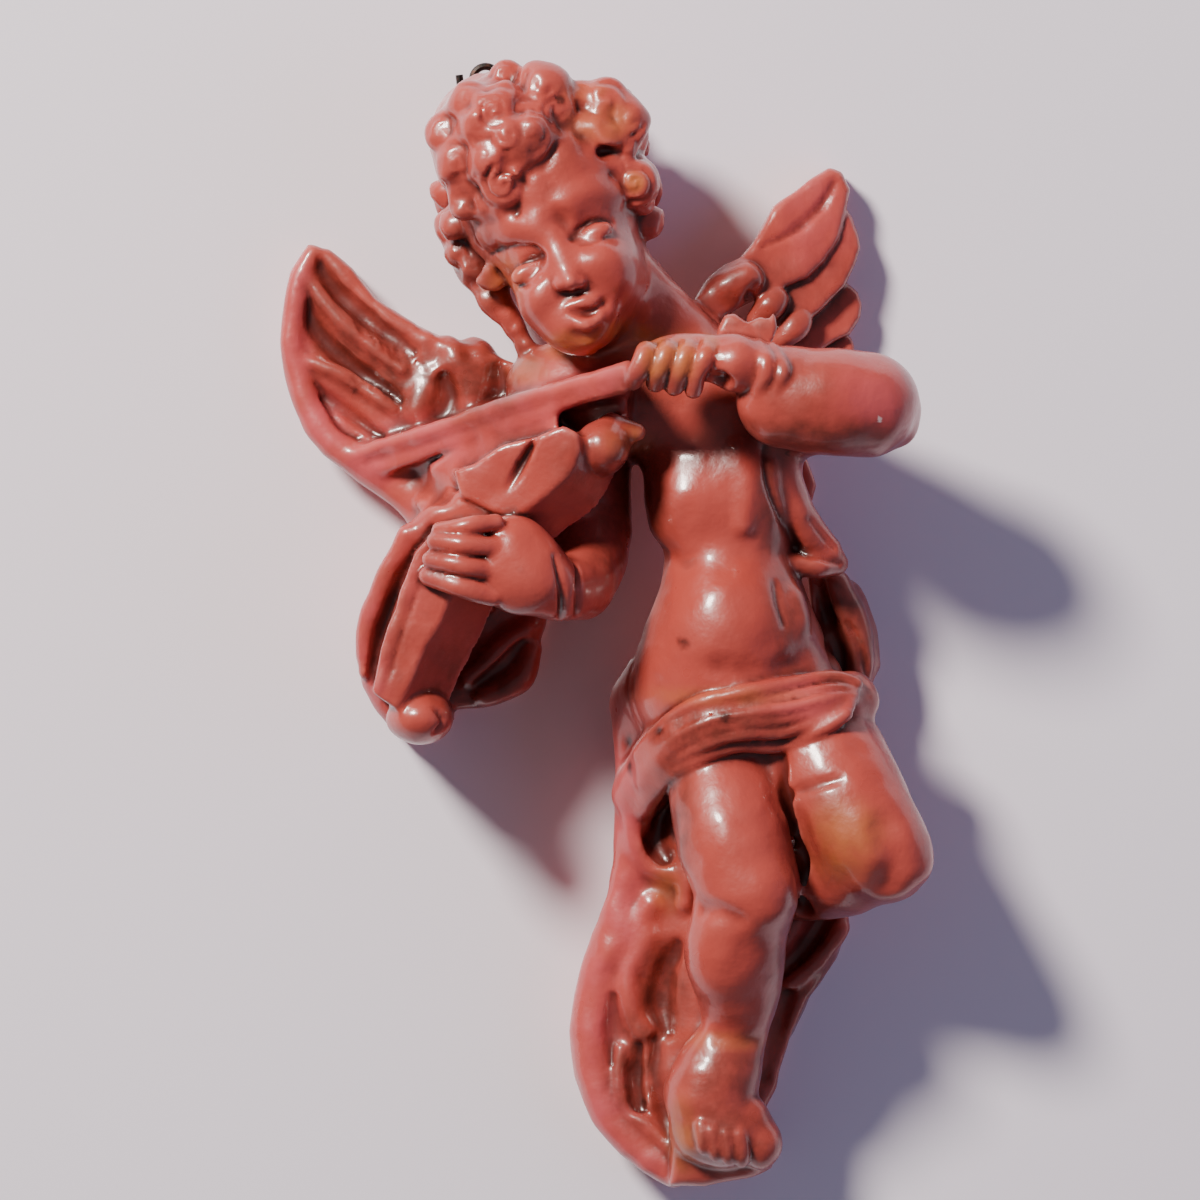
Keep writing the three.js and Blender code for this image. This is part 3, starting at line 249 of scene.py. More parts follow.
add(slab([[-303, 836], [-285, 833], [-264, 815], [-244, 789], [-222, 774], [-190, 756], [-150, 743],
    [-108, 725], [-90, 700], [-120, 640], [-205, 585], [-226, 606], [-242, 619], [-268, 639], [-289, 652],
    [-308, 695], [-325, 745], [-324, 785], [-319, 812]], [-250, 50, 720], [0.1, 0], rounding=9), 6)
furrow([[-298, 826, 3, 0], [-287, 807, 7, 0], [-273, 789, 9, -1], [-242, 763, 9, -1], [-211, 741, 6, 0]], 5)
roll([[-304, 806, 4, 0], [-280, 774, 7, 0], [-253, 750, 7, 0], [-221, 726, 5, 0]], 6)
furrow([[-309, 796, 4, 0], [-298, 762, 8, 0], [-271, 733, 9, -1], [-240, 711, 8, -1], [-221, 697, 5, 0]], 5)
roll([[-303, 733, 5, 0], [-288, 727, 6, 0], [-270, 719, 7, 0], [-243, 701, 6, 0], [-228, 690, 4, 0]], 5)
furrow([[-302, 716, 3, 0], [-281, 695, 7, 0], [-253, 675, 7, 0], [-236, 664, 4, 0]], 5)
roll([[-299, 828, 7, -2], [-311, 806, 9, -3], [-316, 776, 10, -3], [-317, 742, 11, -3], [-309, 708, 12, -3],
    [-297, 680, 13, -3], [-280, 660, 14, -4], [-262, 646, 14, -5], [-240, 632, 12, -5]], 6)
furrow([[-290, 700, 3, 0], [-276, 676, 4, 0], [-258, 664, 3, 0]], 4)
add(limb([[-207, 44, 676, 12], [-204, 50, 696, 12], [-192, 52, 716, 10]]), 9)
add(limb([[-178, 46, 744, 9], [-171, 54, 732, 11], [-166, 52, 714, 10]]), 9)
add(limb([[-152, 40, 738, 14], [-153, 46, 716, 17], [-158, 50, 694, 15]]), 12)
furrow([[-182, 714, 6, 2], [-179, 700, 8, 4], [-184, 684, 6, 2]], 10)
furrow([[-133, 724, 7, 0], [-131, 708, 9, 1], [-137, 694, 7, 0]], 10)
furrow([[-117, 718, 5, 0], [-114, 708, 7, 2], [-121, 698, 5, 0]], 6)
barbs([[-258, 762], [-230, 742], [-202, 730]], 9, 1.4, [3, 5])
barbs([[-262, 714], [-240, 704], [-218, 700]], 8, 1.3, [3, 4])
rough([-250, -120], [650, 790], 13, 0.8)

# The right wing. Four long feathers lie like shingles, each a flat blade with a soft edge, and three short
# rounded ones cover their roots behind the bowing arm.
add(slab([[140, 756], [170, 757], [179, 754], [182, 745], [180, 734], [160, 724], [120, 720]],
    [160, 24, 745], [-0.05, -0.2], rounding=4), 3)
add(slab([[120, 785], [160, 800], [178, 801], [185, 795], [189, 783], [187, 771], [178, 757], [150, 742],
    [110, 730]], [160, 32, 775], [-0.15, -0.25], rounding=5), 2)
add(slab([[110, 800], [150, 830], [172, 872], [180, 861], [186, 846], [188, 834], [182, 818], [174, 800],
    [150, 776], [138, 766], [100, 760]], [160, 42, 820], [-0.15, -0.2], rounding=5), 2)
add(slab([[45, 790], [54, 805], [66, 818], [80, 824], [92, 838], [110, 870], [125, 881], [142, 895],
    [160, 905], [171, 901], [179, 886], [174, 866], [168, 842], [155, 820], [140, 806], [120, 798],
    [90, 786], [60, 770]], [120, 56, 830], [-0.2, -0.2], rounding=6), 2)
add(limb([[50, 54, 776, 14], [66, 66, 794, 17], [86, 70, 806, 14]]), 6)
add(limb([[96, 60, 770, 10], [106, 62, 780, 13], [112, 60, 788, 11]]), 3)
add(limb([[116, 50, 752, 10], [128, 54, 762, 13], [134, 52, 768, 11]]), 3)
furrow([[165, 893, 2, 0], [152, 870, 3.5, 0], [128, 848, 3.5, 0], [100, 834, 2, 0]], 4)
furrow([[94, 800, 3, 0], [88, 790, 4, 0], [86, 776, 3, 0]], 4)

# The drapery behind the legs. It is the plaster that ties the legs to the wall: a broad fall of cloth on
# the left that sweeps under the foot, and a narrow one on the right behind the bent leg.
add(slab([[-28, 440], [-28, 300], [-32, 266], [-46, 230], [-60, 186], [-70, 138], [-65, 98], [-50, 62],
    [-24, 28], [6, 7], [22, 0], [60, 20], [90, 130], [80, 300], [60, 440]], [-20, 64, 250], [0.25, 0.02],
    rounding=18), 14)
roll([[-16, 430, 14, -6], [-14, 350, 15, -6], [-18, 290, 14, -6], [-26, 250, 12, -6]], 16)
roll([[6, 398, 11, 0], [-8, 356, 12, 0], [-12, 316, 11, 0], [0, 288, 10, 0], [20, 278, 8, 0]], 10)
furrow([[22, 366, 7, 0], [10, 342, 10, 0], [4, 312, 12, 0], [12, 292, 8, 0]], 7)
roll([[32, 300, 8, -1], [35, 276, 9, 0], [32, 252, 7, 0]], 8)
roll([[2, 250, 9, -3], [-16, 222, 9, -4], [-34, 206, 8, -4]], 10)
furrow([[24, 214, 5, 0], [14, 190, 10, 0], [9, 164, 13, 1], [14, 140, 8, 0]], 8)
roll([[-30, 232, 14, -8], [-45, 182, 16, -8], [-51, 135, 17, -8], [-47, 96, 16, -8], [-34, 62, 15, -8],
    [-12, 36, 13, -6], [14, 16, 10, -4]], 16)
roll([[0, 222, 7, -2], [-17, 192, 8, -1], [-18, 166, 9, 0], [-8, 138, 6, -1]], 12)
furrow([[-33, 168, 3, 0], [-34, 142, 6, 2], [-33, 110, 4, 2]], 5)
furrow([[-8, 122, 6, 1], [-12, 96, 9, 2], [-8, 70, 7, 2]], 8)
roll([[2, 122, 5, -2], [0, 96, 6, -3], [4, 76, 5, -2]], 8)
furrow([[5, 130, 5, 0], [5, 94, 8, 3], [13, 62, 8, 3], [28, 38, 7, 3], [46, 12, 5, 1]], 6)
roll([[-26, 122, 3, 0], [-28, 92, 4, 0], [-20, 66, 4, 0], [-2, 54, 5, 0], [14, 38, 5, 0], [34, 14, 4, 0]], 6)
add(slab([[100, 262], [176, 262], [177, 230], [165, 200], [142, 167], [124, 128], [112, 92], [101, 62],
    [80, 62], [80, 200]], [130, 48, 180], [-0.1, 0.05], rounding=9), 8)
furrow([[158, 242, 9, 0], [142, 216, 12, 2], [120, 192, 9, 2]], 8)
roll([[170, 228, 7, -1], [152, 202, 7, 0], [124, 178, 7, 0]], 7)
furrow([[122, 168, 7, 0], [111, 132, 9, 2], [103, 96, 7, 2]], 8)
rough([-70, 190], [0, 300], 17, 0.7)

# The body. Neck and shoulders, chest, round belly and hips are one soft run, with a slit for the navel and
# faint creases under the breast and across the lower belly.
def posed(lean=0):
    """The directions across, out and up of a form that leans to the left by some degrees."""
    a = math.radians(lean)
    return np.array([[math.cos(a), 0, math.sin(a)], [0, 1, 0], [-math.sin(a), 0, math.cos(a)]])


def oval(x, y, z, a, b, c):
    """Distance to an egg of three radii, near its surface."""
    near = np.sqrt((x / a) ** 2 + (y / b) ** 2 + (z / c) ** 2)
    steep = np.sqrt((x / (a * a)) ** 2 + (y / (b * b)) ** 2 + (z / (c * c)) ** 2) + 1e-9
    return near * (near - 1) / steep


def ball(centre, radii, ways=posed()):
    """An egg with a radius along each of three directions."""
    girth = max(radii)

    def away(where, reach):
        u, d, w = points_in(where)
        p = (u - centre[0], d - centre[1], w - centre[2])
        return oval(*[sum(ways[k][i] * p[i] for i in range(3)) for k in range(3)], *radii)
    return [c - girth for c in centre], [c + girth for c in centre], away


def blurred(field, reach):
    """Each sample as the mean of those around it."""
    for axis in range(3):
        margin = [(reach + 1, reach) if i == axis else (0, 0) for i in range(3)]
        total = np.cumsum(np.pad(field, margin, mode="edge"), axis=axis, dtype=np.float64)
        here = np.arange(field.shape[axis])
        field = (np.take(total, here + 2 * reach + 1, axis) - np.take(total, here, axis)) / (2 * reach + 1)
    return field


def soften(across, up, reach):
    """Rubs a part of the clay smooth, fading out at the edges of the part."""
    edge, close = 12, 40  # samples farther than close from the surface count as that far
    where = patch([across[0], 0, up[0]], [across[1], HIGH[1], up[1]], 0)
    u, d, w = points_in(where)
    part = np.clip(clay[where], -close, close)
    clay[where] += (blurred(part, reach) - part) * faded(u, across, edge) * faded(w, up, edge)


add(limb([[62, 84, 650, 62], [66, 88, 604, 61], [70, 90, 556, 57], [74, 94, 516, 63], [74, 94, 480, 75]]), 44)
add(ball([76, 84, 436], [92, 92, 64]), 44)
add(limb([[64, 90, 690, 60], [24, 95, 730, 50], [-25, 110, 785, 46]]), 25)
add(limb([[70, 100, 690, 52], [-50, 108, 700, 50], [-86, 96, 706, 42]]), 24)
add(ball([36, 122, 606], [34, 42, 42], posed(6)), 40)
add(ball([86, 118, 618], [32, 38, 50]), 40)
add(ball([68, 130, 504], [50, 56, 52]), 42)
furrow([[0, 572, 4, 2], [14, 560, 5, 3], [32, 553, 4, 3]], 14)
furrow([[62, 460, 5, 4], [100, 455, 6, 3], [136, 468, 5, 3]], 14)
roll([[126, 520, 8, -7], [131, 502, 8, -7]], 18)
soften([-16, 60], [530, 606], 3)
soften([60, 160], [436, 556], 3)
furrow([[111, 535, 1.6, 0.4], [113, 518, 2.6, 0.6], [118, 500, 1.6, 0.4]], 6)
roll([[78, 652, 5, -3], [86, 622, 6, -4], [82, 588, 5, -3]], 14)

# The legs. The left one hangs straight down and the right one is bent back at the knee, plump, with a
# crease over the thigh and a deep gap between the two.
add(limb([[60, 104, 412, 54], [63, 126, 362, 48], [72, 150, 312, 50], [84, 158, 268, 46],
    [79, 144, 232, 43], [76, 130, 202, 43], [78, 116, 168, 35], [78, 108, 138, 22]]), 20)
add(ball([100, 180, 262], [24, 24, 26]), 20)
add(ball([62, 150, 208], [24, 26, 30]), 26)
furrow([[44, 248, 4, 3], [60, 245, 5, 4], [76, 238, 4, 3.5]], 14)
add(limb([[122, 96, 424, 56], [150, 122, 384, 56], [176, 146, 338, 54], [200, 160, 304, 45],
    [224, 168, 290, 24]]), 14)
add(limb([[206, 150, 294, 38], [172, 124, 282, 41], [140, 92, 274, 37], [112, 50, 268, 30]]), 16)
furrow([[126, 351, 2.5, 0], [143, 357, 3.5, 1], [166, 364, 2, 1]], 7)
furrow([[206, 322, 6, 5], [214, 292, 8, 6], [208, 268, 6, 5]], 20)
cut(limb([[114, 190, 388, 4], [121, 186, 352, 6], [132, 180, 314, 7], [137, 170, 280, 7],
    [136, 150, 246, 8]]), 6)
cut(limb([[114, 168, 388, 4], [121, 160, 352, 6], [132, 150, 314, 7], [137, 140, 280, 7],
    [136, 120, 246, 8]]), 6)
add(slab([[96, 330], [150, 330], [152, 236], [96, 236]], [124, 34, 280], [0, 0], rounding=4), 6)
cut(limb([[122, 200, 350, 6], [131, 186, 318, 10], [136, 176, 284, 9], [136, 160, 252, 9]]), 6)
cut(limb([[123, 166, 348, 6], [132, 152, 318, 10], [137, 140, 284, 9], [136, 120, 252, 9]]), 6)

# The foot. It is cast in one with the end of the drapery, toes down. The toes are small rolls side by side,
# and two soft creases cross the front of the ankle.
def toe(u, w, girth):
    """A toe, from where it leaves the foot to its tip at u, w."""
    root, tip = front(u, w + 15), front(u, w)
    add(limb([[u - 2, root - 0.4 * girth, w + 15, girth], [u, tip + 1, w, girth],
              [u + 1, tip - 4, w - 7, girth - 1]]), 2.5)


add(limb([[78, 106, 142, 22], [64, 106, 112, 36], [54, 102, 84, 42]]), 12)
add(ball([66, 104, 50], [46, 38, 32]), 14)
add(slab([[18, 2], [48, 1], [90, 9], [108, 18], [112, 32], [100, 48], [20, 50]], [60, 100, 20], [0.1, 0.4],
    rounding=8), 8)
furrow([[56, 134, 2, 1], [78, 129, 3, 1], [100, 134, 2, 1]], 9)
furrow([[44, 118, 2, 1], [60, 113, 2.2, 1.2], [80, 114, 2, 1]], 8)
soften([34, 124], [100, 150], 2)
add(ball([90, 114, 62], [11, 14, 16], posed(-28)), 10)
add(ball([100, 114, 37], [17, 21, 20], posed(-20)), 8)
toe(80, 33, 8)
toe(68, 34, 7.5)
toe(57, 37, 7)
toe(47, 42, 6.5)

# The tunic. Its open edge falls in a flat band beside the bare belly, and below the hem the cloth is
# gathered at the waist. Both are cast with the body and stand a few millimetres proud of it.
def blade(stations):
    """A flattened form along [u, d, w, half width, half thickness] stations, flat side outwards."""
    path = eased(stations)

    def link(a, b, u, d, w):
        run = b[:3] - a[:3]
        length = float(np.sqrt(run @ run)) or 1.0
        along = run / length
        side = np.cross(along, [0, 1, 0])
        side = side / (np.linalg.norm(side) or 1)
        out = np.cross(side, along)
        x, y, z = u - a[0], d - a[1], w - a[2]
        reach = x * along[0] + y * along[1] + z * along[2]
        t = np.clip(reach / length, 0, 1)
        wide = a[3] + (b[3] - a[3]) * t
        thick = a[4] + (b[4] - a[4]) * t
        return oval(x * side[0] + y * side[1] + z * side[2], x * out[0] + y * out[1] + z * out[2],
                    reach - t * length, wide, thick, wide)
    return chained(path, max(p[3] for p in path), link)


add(slab([[120, 655], [138, 650], [148, 622], [142, 600], [110, 590]], [130, 54, 620], [0, 0], rounding=6), 6)
add(blade([[117, 112, 672, 16, 24], [120, 116, 628, 15, 24], [132, 110, 594, 16, 22],
    [150, 98, 564, 19, 18]]), 6)
add(ball([130, 84, 566], [17, 22, 16]), 8)
add(blade([[124, 112, 553, 9, 12], [146, 108, 551, 12, 14], [164, 92, 553, 11, 12]]), 6)
furrow([[101, 658, 3, 0], [104, 624, 4, 0], [114, 596, 4, 0], [131, 568, 3, 0]], 4)
furrow([[140, 592, 1.5, 0], [152, 578, 2.5, 0], [163, 566, 2, 0]], 4)
furrow([[136, 562, 2, 0], [150, 558, 3, 1], [168, 552, 2, 0]], 5)
add(slab([[140, 546], [176, 540], [190, 522], [200, 490], [204, 462], [196, 440], [180, 428], [150, 440]],
    [170, 62, 490], [-0.2, 0], rounding=9), 8)
add(limb([[164, 62, 534, 14], [178, 62, 504, 15], [186, 60, 474, 13], [184, 62, 446, 11]]), 8)
add(limb([[176, 44, 524, 14], [190, 40, 492, 12], [194, 40, 464, 10]]), 6)
furrow([[150, 532, 5, 0], [157, 500, 9, 1], [163, 470, 9, 1], [172, 446, 5, 0]], 8)
furrow([[176, 500, 2, 0], [187, 476, 3.5, 0], [194, 448, 3, 0]], 4)

# The sash. A twisted cloth crosses the hips and is cast with them, a flattened band with six long folds
# that run side by side from one hip to the other, two of them along its edges.
def mix(a, b, t):
    return [x + (y - x) * t for x, y in zip(a, b)]


def between(upper, lower, share):
    """A path along the sash, a share of the way down from its upper edge to its lower one."""
    return [mix(a, b, share) for a, b in zip(upper, lower)]


upper = [[182, 446], [160, 452], [120, 446], [80, 438], [44, 430], [14, 412], [-12, 384]]
lower = [[172, 420], [148, 405], [116, 392], [76, 392], [42, 380], [12, 360], [-6, 318]]
add(laid([[u, w, 25, -14] for u, w in between(upper, lower, 0.5)]), 8)
for share, girth, lift in [[0, 6.5, 1], [0.21, 5, 0], [0.4, 6, 1], [0.58, 5, 0], [0.78, 6, 1], [1, 6.5, 0]]:
    roll([[u, w, girth, lift] for u, w in between(upper, lower, share)], 3)
soften([-44, 16], [300, 404], 2)

# The sleeve. Loose cloth hangs under the violin's neck and is filled with plaster down to the wall, except
# for the hollow between its two folds behind the hand.
add(slab([[-210, 588], [-226, 566], [-246, 532], [-258, 498], [-260, 470], [-254, 444], [-240, 420],
    [-222, 398], [-203, 393], [-184, 400], [-174, 416], [-188, 450], [-176, 486], [-140, 512], [-120, 600],
    [-180, 620]], [-210, 150, 480], [0.2, 0.25], rounding=14), 8)
add(slab([[-190, 470], [-180, 424], [-150, 424], [-122, 432], [-106, 448], [-100, 476], [-92, 500],
    [-90, 560], [-190, 560]], [-140, 46, 460], [0, 0.1], rounding=8), 8)
roll([[-110, 494, 9, 0], [-134, 475, 12, 0], [-160, 452, 9, 0]], 7)
roll([[-104, 476, 8, 0], [-116, 450, 13, 0], [-146, 436, 10, 0]], 7)
furrow([[-112, 482, 4, 0], [-132, 463, 5, 2], [-152, 446, 4, 2]], 4)
roll([[-214, 578, 8, 0], [-236, 534, 9, 0], [-250, 492, 9, 0], [-250, 458, 8, 0]], 7)
furrow([[-192, 582, 4, 0], [-216, 540, 6, 1], [-232, 506, 6, 1], [-240, 476, 6, 1], [-246, 450, 4, 1]], 5)

# The bow. The stick runs from the fist to the rim of the left wing. The mould can't leave it free, so a web
# of plaster stands below it down to the wall.
add(slab([[-274, 645], [-250, 655], [-150, 688], [-60, 712], [-20, 714], [-20, 660], [-60, 600],
    [-120, 575], [-180, 580], [-205, 582], [-228, 606], [-258, 627]], [-180, 88, 640], [0.5, 0.25],
    rounding=8), 12)
add(slab([[-274, 646], [-250, 656], [-200, 672], [-150, 690], [-100, 705], [-60, 715], [-20, 724],
    [-20, 702], [-60, 692], [-100, 680], [-150, 663], [-196, 646], [-232, 632], [-256, 634]],
    [-150, 142, 680], [0.76, 0.15], rounding=7), 8)
add(slab([[-208, 606], [-194, 640], [-166, 658], [-128, 674], [-100, 686], [-84, 690], [-80, 674],
    [-90, 650], [-120, 636], [-190, 590]], [-150, 136, 660], [0.8, 0], rounding=5), 8)
add(limb([[-268, 50, 648, 5], [-240, 72, 657, 5], [-200, 102, 669, 5], [-140, 148, 688, 5],
    [-60, 209, 711, 6], [-20, 236, 721, 8]]), 9)
cut(limb([[-70, 190, 676, 9], [-40, 200, 686, 11], [-14, 205, 690, 9]]), 5)
furrow([[-212, 628, 8, 4], [-196, 618, 11, 7], [-180, 612, 8, 5]], 12)

# The arm behind the violin. It comes down from the shoulder to the elbow and then forward to the neck, with
# two creases at the wrist.
add(limb([[-62, 80, 660, 44], [-54, 86, 600, 38], [-54, 112, 556, 34], [-62, 150, 534, 29]]), 14)
add(limb([[-62, 150, 534, 29], [-78, 184, 530, 28], [-102, 204, 540, 34]]), 10)
add(ball([-120, 208, 552], [40, 32, 43], posed(20)), 10)
furrow([[-84, 558, 2.5, 0], [-78, 530, 3.5, 0], [-80, 504, 2.5, 0]], 4)
furrow([[-68, 556, 2.5, 0], [-64, 530, 3.5, 0], [-66, 506, 2.5, 0]], 4)

# The violin. The body, chin end and neck are flat plates with sharp edges that all lean one way, and a lens
# of shadow across the body stands for its waist. The scroll is a soft knob.
askew = [0.62, -0.45]
body = [[-173, 634], [-155, 639], [-130, 656], [-100, 663], [-76, 673], [-65, 667], [-62, 652], [-67, 638],
    [-76, 625], [-92, 612], [-120, 592], [-136, 597], [-165, 612]]
add(slab(body, [-120, 206, 630], [0.2, 0.1], thick=50, lean=askew, rounding=3), 2)
add(slab(body, [-120, 206, 630], [0.2, 0.1], thick=150, rounding=3), 2)
cut(ball([-117, 212, 632], [5.5, 11, 34], posed(-29)), 3)
add(ball([-42, 188, 654], [24, 28, 24]), 6)
add(limb([[-34, 186, 678, 7], [-12, 184, 668, 8]]), 12)
neck = [[-186, 585], [-206, 562], [-222, 520], [-236, 478], [-244, 440], [-222, 424], [-211, 446],
    [-200, 474], [-184, 502], [-168, 540], [-150, 560], [-150, 590]]
add(slab(neck, [-200, 208, 500], [0.05, 0.08], thick=52, lean=askew, rounding=3), 2)
add(slab(neck, [-200, 208, 500], [0.05, 0.08], thick=120, rounding=3), 2)
furrow([[-196, 548, 1.5, 0], [-212, 508, 2, 0], [-224, 470, 2, 0], [-234, 438, 1.5, 0]], 2)
add(ball([-202, 166, 417], [30, 38, 24]), 6)
furrow([[-189, 424, 2.5, 0], [-182, 414, 3, 0], [-188, 406, 2.5, 0]], 3)

# The hand round the neck. It is cast in one with the violin: four fingers lie side by side over the
# strings, bent a little outwards in the middle and thinner at their tips.
def finger(root, tip, d, girth):
    """A finger between two [u, w] places, its middle about d out from the wall."""
    u, w = mix(root, tip, 0.5)
    add(limb([[root[0], d - 4, root[1], girth], [u, d + 3, w, girth],
              [tip[0], d - 9, tip[1], girth - 1]]), 2.5)


finger([-136, 588], [-184, 582], 232, 8)
finger([-138, 567], [-188, 571], 234, 9)
finger([-142, 547], [-192, 556], 232, 9)
finger([-138, 524], [-194, 541], 226, 10)

# The bowing arm. It crosses in front of the chest with its elbow out to the right, and a ragged cuff and
# two rolls of cloth end the sleeve at the wrist.
add(limb([[92, 96, 700, 46], [140, 130, 694, 46], [196, 178, 692, 42]]), 20)
add(limb([[188, 200, 692, 46], [156, 212, 694, 47], [118, 212, 696, 43]]), 10)
add(ball([220, 176, 672], [14, 18, 15]), 8)
add(limb([[126, 214, 716, 27], [96, 226, 722, 23], [74, 232, 728, 22]]), 6)
add(slab([[56, 738], [60, 760], [66, 770], [74, 771], [85, 763], [96, 768], [104, 766], [109, 773],
    [111, 758], [104, 740]], [85, 214, 755], [0, -0.2], thick=60, rounding=3), 4)
add(limb([[106, 226, 743, 4], [114, 245, 728, 6], [115, 252, 716, 6], [108, 248, 700, 5]]), 4)
add(limb([[95, 226, 746, 4], [101, 248, 730, 7], [100, 252, 716, 7], [94, 244, 702, 5]]), 4)

# The hand on the bow. It is a fist, cast in one with the stick: a long round palm, four fingers curled down
# over it side by side, and a small hollow between the last of them and the sleeve.
def knuckle(top, foot):
    """A curled finger between two [u, w] places, foremost in its middle."""
    u, w = mix(top, foot, 0.5)
    add(limb([[top[0], 224, top[1] - 9, 9], [u + 4, 247, w + 9, 10], [u - 2, 249, w - 5, 9.5],
              [foot[0], 238, foot[1] + 4, 8.5]]), 2)


add(ball([74, 232, 728], [25, 28, 24]), 8)
add(ball([34, 224, 732], [44, 24, 22]), 10)
knuckle([-2, 746], [-15, 708])
knuckle([16, 749], [4, 706])
knuckle([34, 752], [21, 703])
knuckle([51, 752], [38, 700])
cut(ball([60, 252, 710], [12, 18, 11]), 6)

# The head. It is cast in one with the shoulders, leans to the left and looks down along the violin. The
# skull is round, with a full jaw, chin and cheeks.
SKULL = [-92, 105, 885]  # the middle of the skull
add(ball(SKULL, [84, 110, 88], posed(20)), 30)
add(ball([-66, 148, 815], [56, 70, 60], posed(18)), 30)
add(ball([-64, 184, 762], [33, 34, 25]), 26)
add(ball([-36, 178, 806], [26, 38, 28]), 20)
add(ball([-97, 180, 787], [19, 35, 24]), 18)

# The face. Brows, lowered lids, a short nose and parted lips are soft, as the mould and the thick paint
# leave them, and only the lid lines and the mouth are cut sharp.
def eyeball(u, w, lean):
    """An eye under its lid, sunk in the clay but for its front."""
    add(ball([u, front(u, w) - 4, w], [17, 10, 9], posed(lean)), 3)


roll([[-144, 840, 8, -5], [-122, 846, 10, -6], [-100, 849, 9, -6]], 14)
roll([[-76, 867, 8, -6], [-56, 877, 10, -6], [-34, 876, 9, -7]], 14)
cut(ball([-108, front(-108, 816) + 9, 816], [23, 12, 9], posed(24)), 9)
cut(ball([-52, front(-52, 848) + 9, 848], [23, 12, 9], posed(28)), 9)
cut(ball([-78, front(-78, 850) + 8, 850], [9, 12, 12], posed(20)), 10)
eyeball(-106, 808, 24)
eyeball(-49, 841, 28)
furrow([[-125, 803, 2, 1], [-116, 814, 2.6, 1], [-104, 819, 2.8, 0], [-89, 824, 2, 0]], 3)
furrow([[-70, 836, 2, 0], [-60, 848, 2.6, 0], [-46, 854, 2.8, 0], [-33, 852, 2, 0]], 3)
soften([-140, -112], [788, 822], 1)
furrow([[-142, 825, 1.6, 0], [-126, 829, 2, 0.5], [-110, 830, 2, 0.5], [-97, 829, 1.6, 0]], 4)
furrow([[-120, 797, 1.4, 0.4], [-107, 797, 1.6, 0.4], [-93, 804, 1.4, 0.4]], 3)
furrow([[-61, 831, 1.4, 0.4], [-48, 832, 1.6, 0.4], [-37, 839, 1.4, 0.4]], 3)
add(ball([-47, front(-47, 816) - 15, 816], [20, 19, 15], posed(24)), 14)
roll([[-86, 838, 7, -6], [-80, 822, 8, -5], [-73, 808, 9, -3]], 12)
add(ball([-70, front(-70, 800) - 2, 799], [8, 11, 8], posed(20)), 7)
add(ball([-79, front(-79, 797) - 2, 796], [5, 6, 5], posed(20)), 4)
add(ball([-61, front(-61, 799) - 2, 799], [5, 6, 5], posed(20)), 4)
cut(ball([-75, front(-75, 790), 788], [3, 4, 2.2], posed(20)), 3)
cut(ball([-63, front(-63, 791), 790], [3, 4, 2.2], posed(20)), 3)
add(ball([-56, front(-56, 773) - 14, 773], [22, 14, 15], posed(14)), 14)
furrow([[-68, 788, 1.6, 0.5], [-64, 784, 1.6, 0.5]], 3)
roll([[-74, 776, 2, -1], [-65, 781, 3, -1.5], [-56, 782, 3, -1.5], [-48, 784, 2.6, -1.5],
    [-41, 781, 2, -1]], 5)
roll([[-63, 761, 3, -1.5], [-54, 761, 4.2, -1.5], [-45, 766, 3, -1.5]], 5)
furrow([[-72, 773, 1.6, 0], [-63, 772, 4, -1], [-54, 772, 5, -2], [-47, 775, 3.6, -1], [-42, 779, 2, 0]], 2)
furrow([[-66, 752, 3, 2], [-56, 750, 4, 2], [-46, 755, 3, 2]], 9)
cut(ball([-40, front(-40, 780), 780], [4, 5, 4]), 6)

# The hair. It is one thick mass of short locks, with a snail curl here and there, that hangs over the
# forehead and runs down both sides of the head to the wall. A hollow at the top leaves room for the wire eye.
def unit(a):
    """A direction, as a vector of length 1."""
    a = np.array(a, dtype=float)
    return a / (np.linalg.norm(a) or 1)


def curl_at(u, d, w, size, hand):
    """One snail curl, facing away from the middle of the skull. Its hand, 1 or -1, is the way it winds."""
    centre = np.array([u, d, w], dtype=float)
    facing = unit(centre - SKULL)
    side = unit(np.cross([0, 0, 1], facing))
    rise = np.cross(facing, side)
    turns, steps = 1.25, 9
    path = []
    for i in range(steps + 1):
        t = i / steps
        angle = hand * (turns * 2 * math.pi * t + u * 0.13 + w * 0.07)  # each starts its own way
        wide = size * (0.66 - 0.56 * t)
        p = centre + facing * size * 0.3 * t + side * wide * math.cos(angle) + rise * wide * math.sin(angle)
        path.append([*p, size * (0.34 - 0.12 * t)])
    add(ball(list(centre - facing * size * 0.45), [size * 0.95] * 3), 5)
    add(limb(path), 2)


def curl(u, w, size, hand):
    """One snail curl on the front of the clay."""
    curl_at(u, front(u, w) - size * 0.05, w, size, hand)


def lock(u, w, size):
    """A short lock: a soft lump with two curved strands drawn into its front, one way or another."""
    centre = np.array([u, front(u, w) - size * 0.3, w])
    facing = unit(centre - SKULL)
    add(ball(list(centre - facing * size * 0.2), [size * 0.98] * 3), 7)
    heading = u * 0.31 + w * 0.17  # so that no two locks point the same way
    for share in (0.3, 0.68):
        strand = []
        for i in range(-3, 4):
            angle = heading + i * 0.55
            right, up = size * share * math.cos(angle), size * share * math.sin(angle)
            strand.append([u + right, w + up, size * 0.1, 0.5])
        furrow(strand, 4)


def ring(wide, high, d, count, start, stop, size):
    """Curls round the side of the head, near the wall, from one angle in degrees to another."""
    for i in range(count):
        angle = math.radians(start + i * (stop - start) / (count - 1))
        u, w = SKULL[0] + wide * math.cos(angle), SKULL[2] + high * math.sin(angle)
        curl_at(u, d, w, size, 1 if i % 2 else -1)


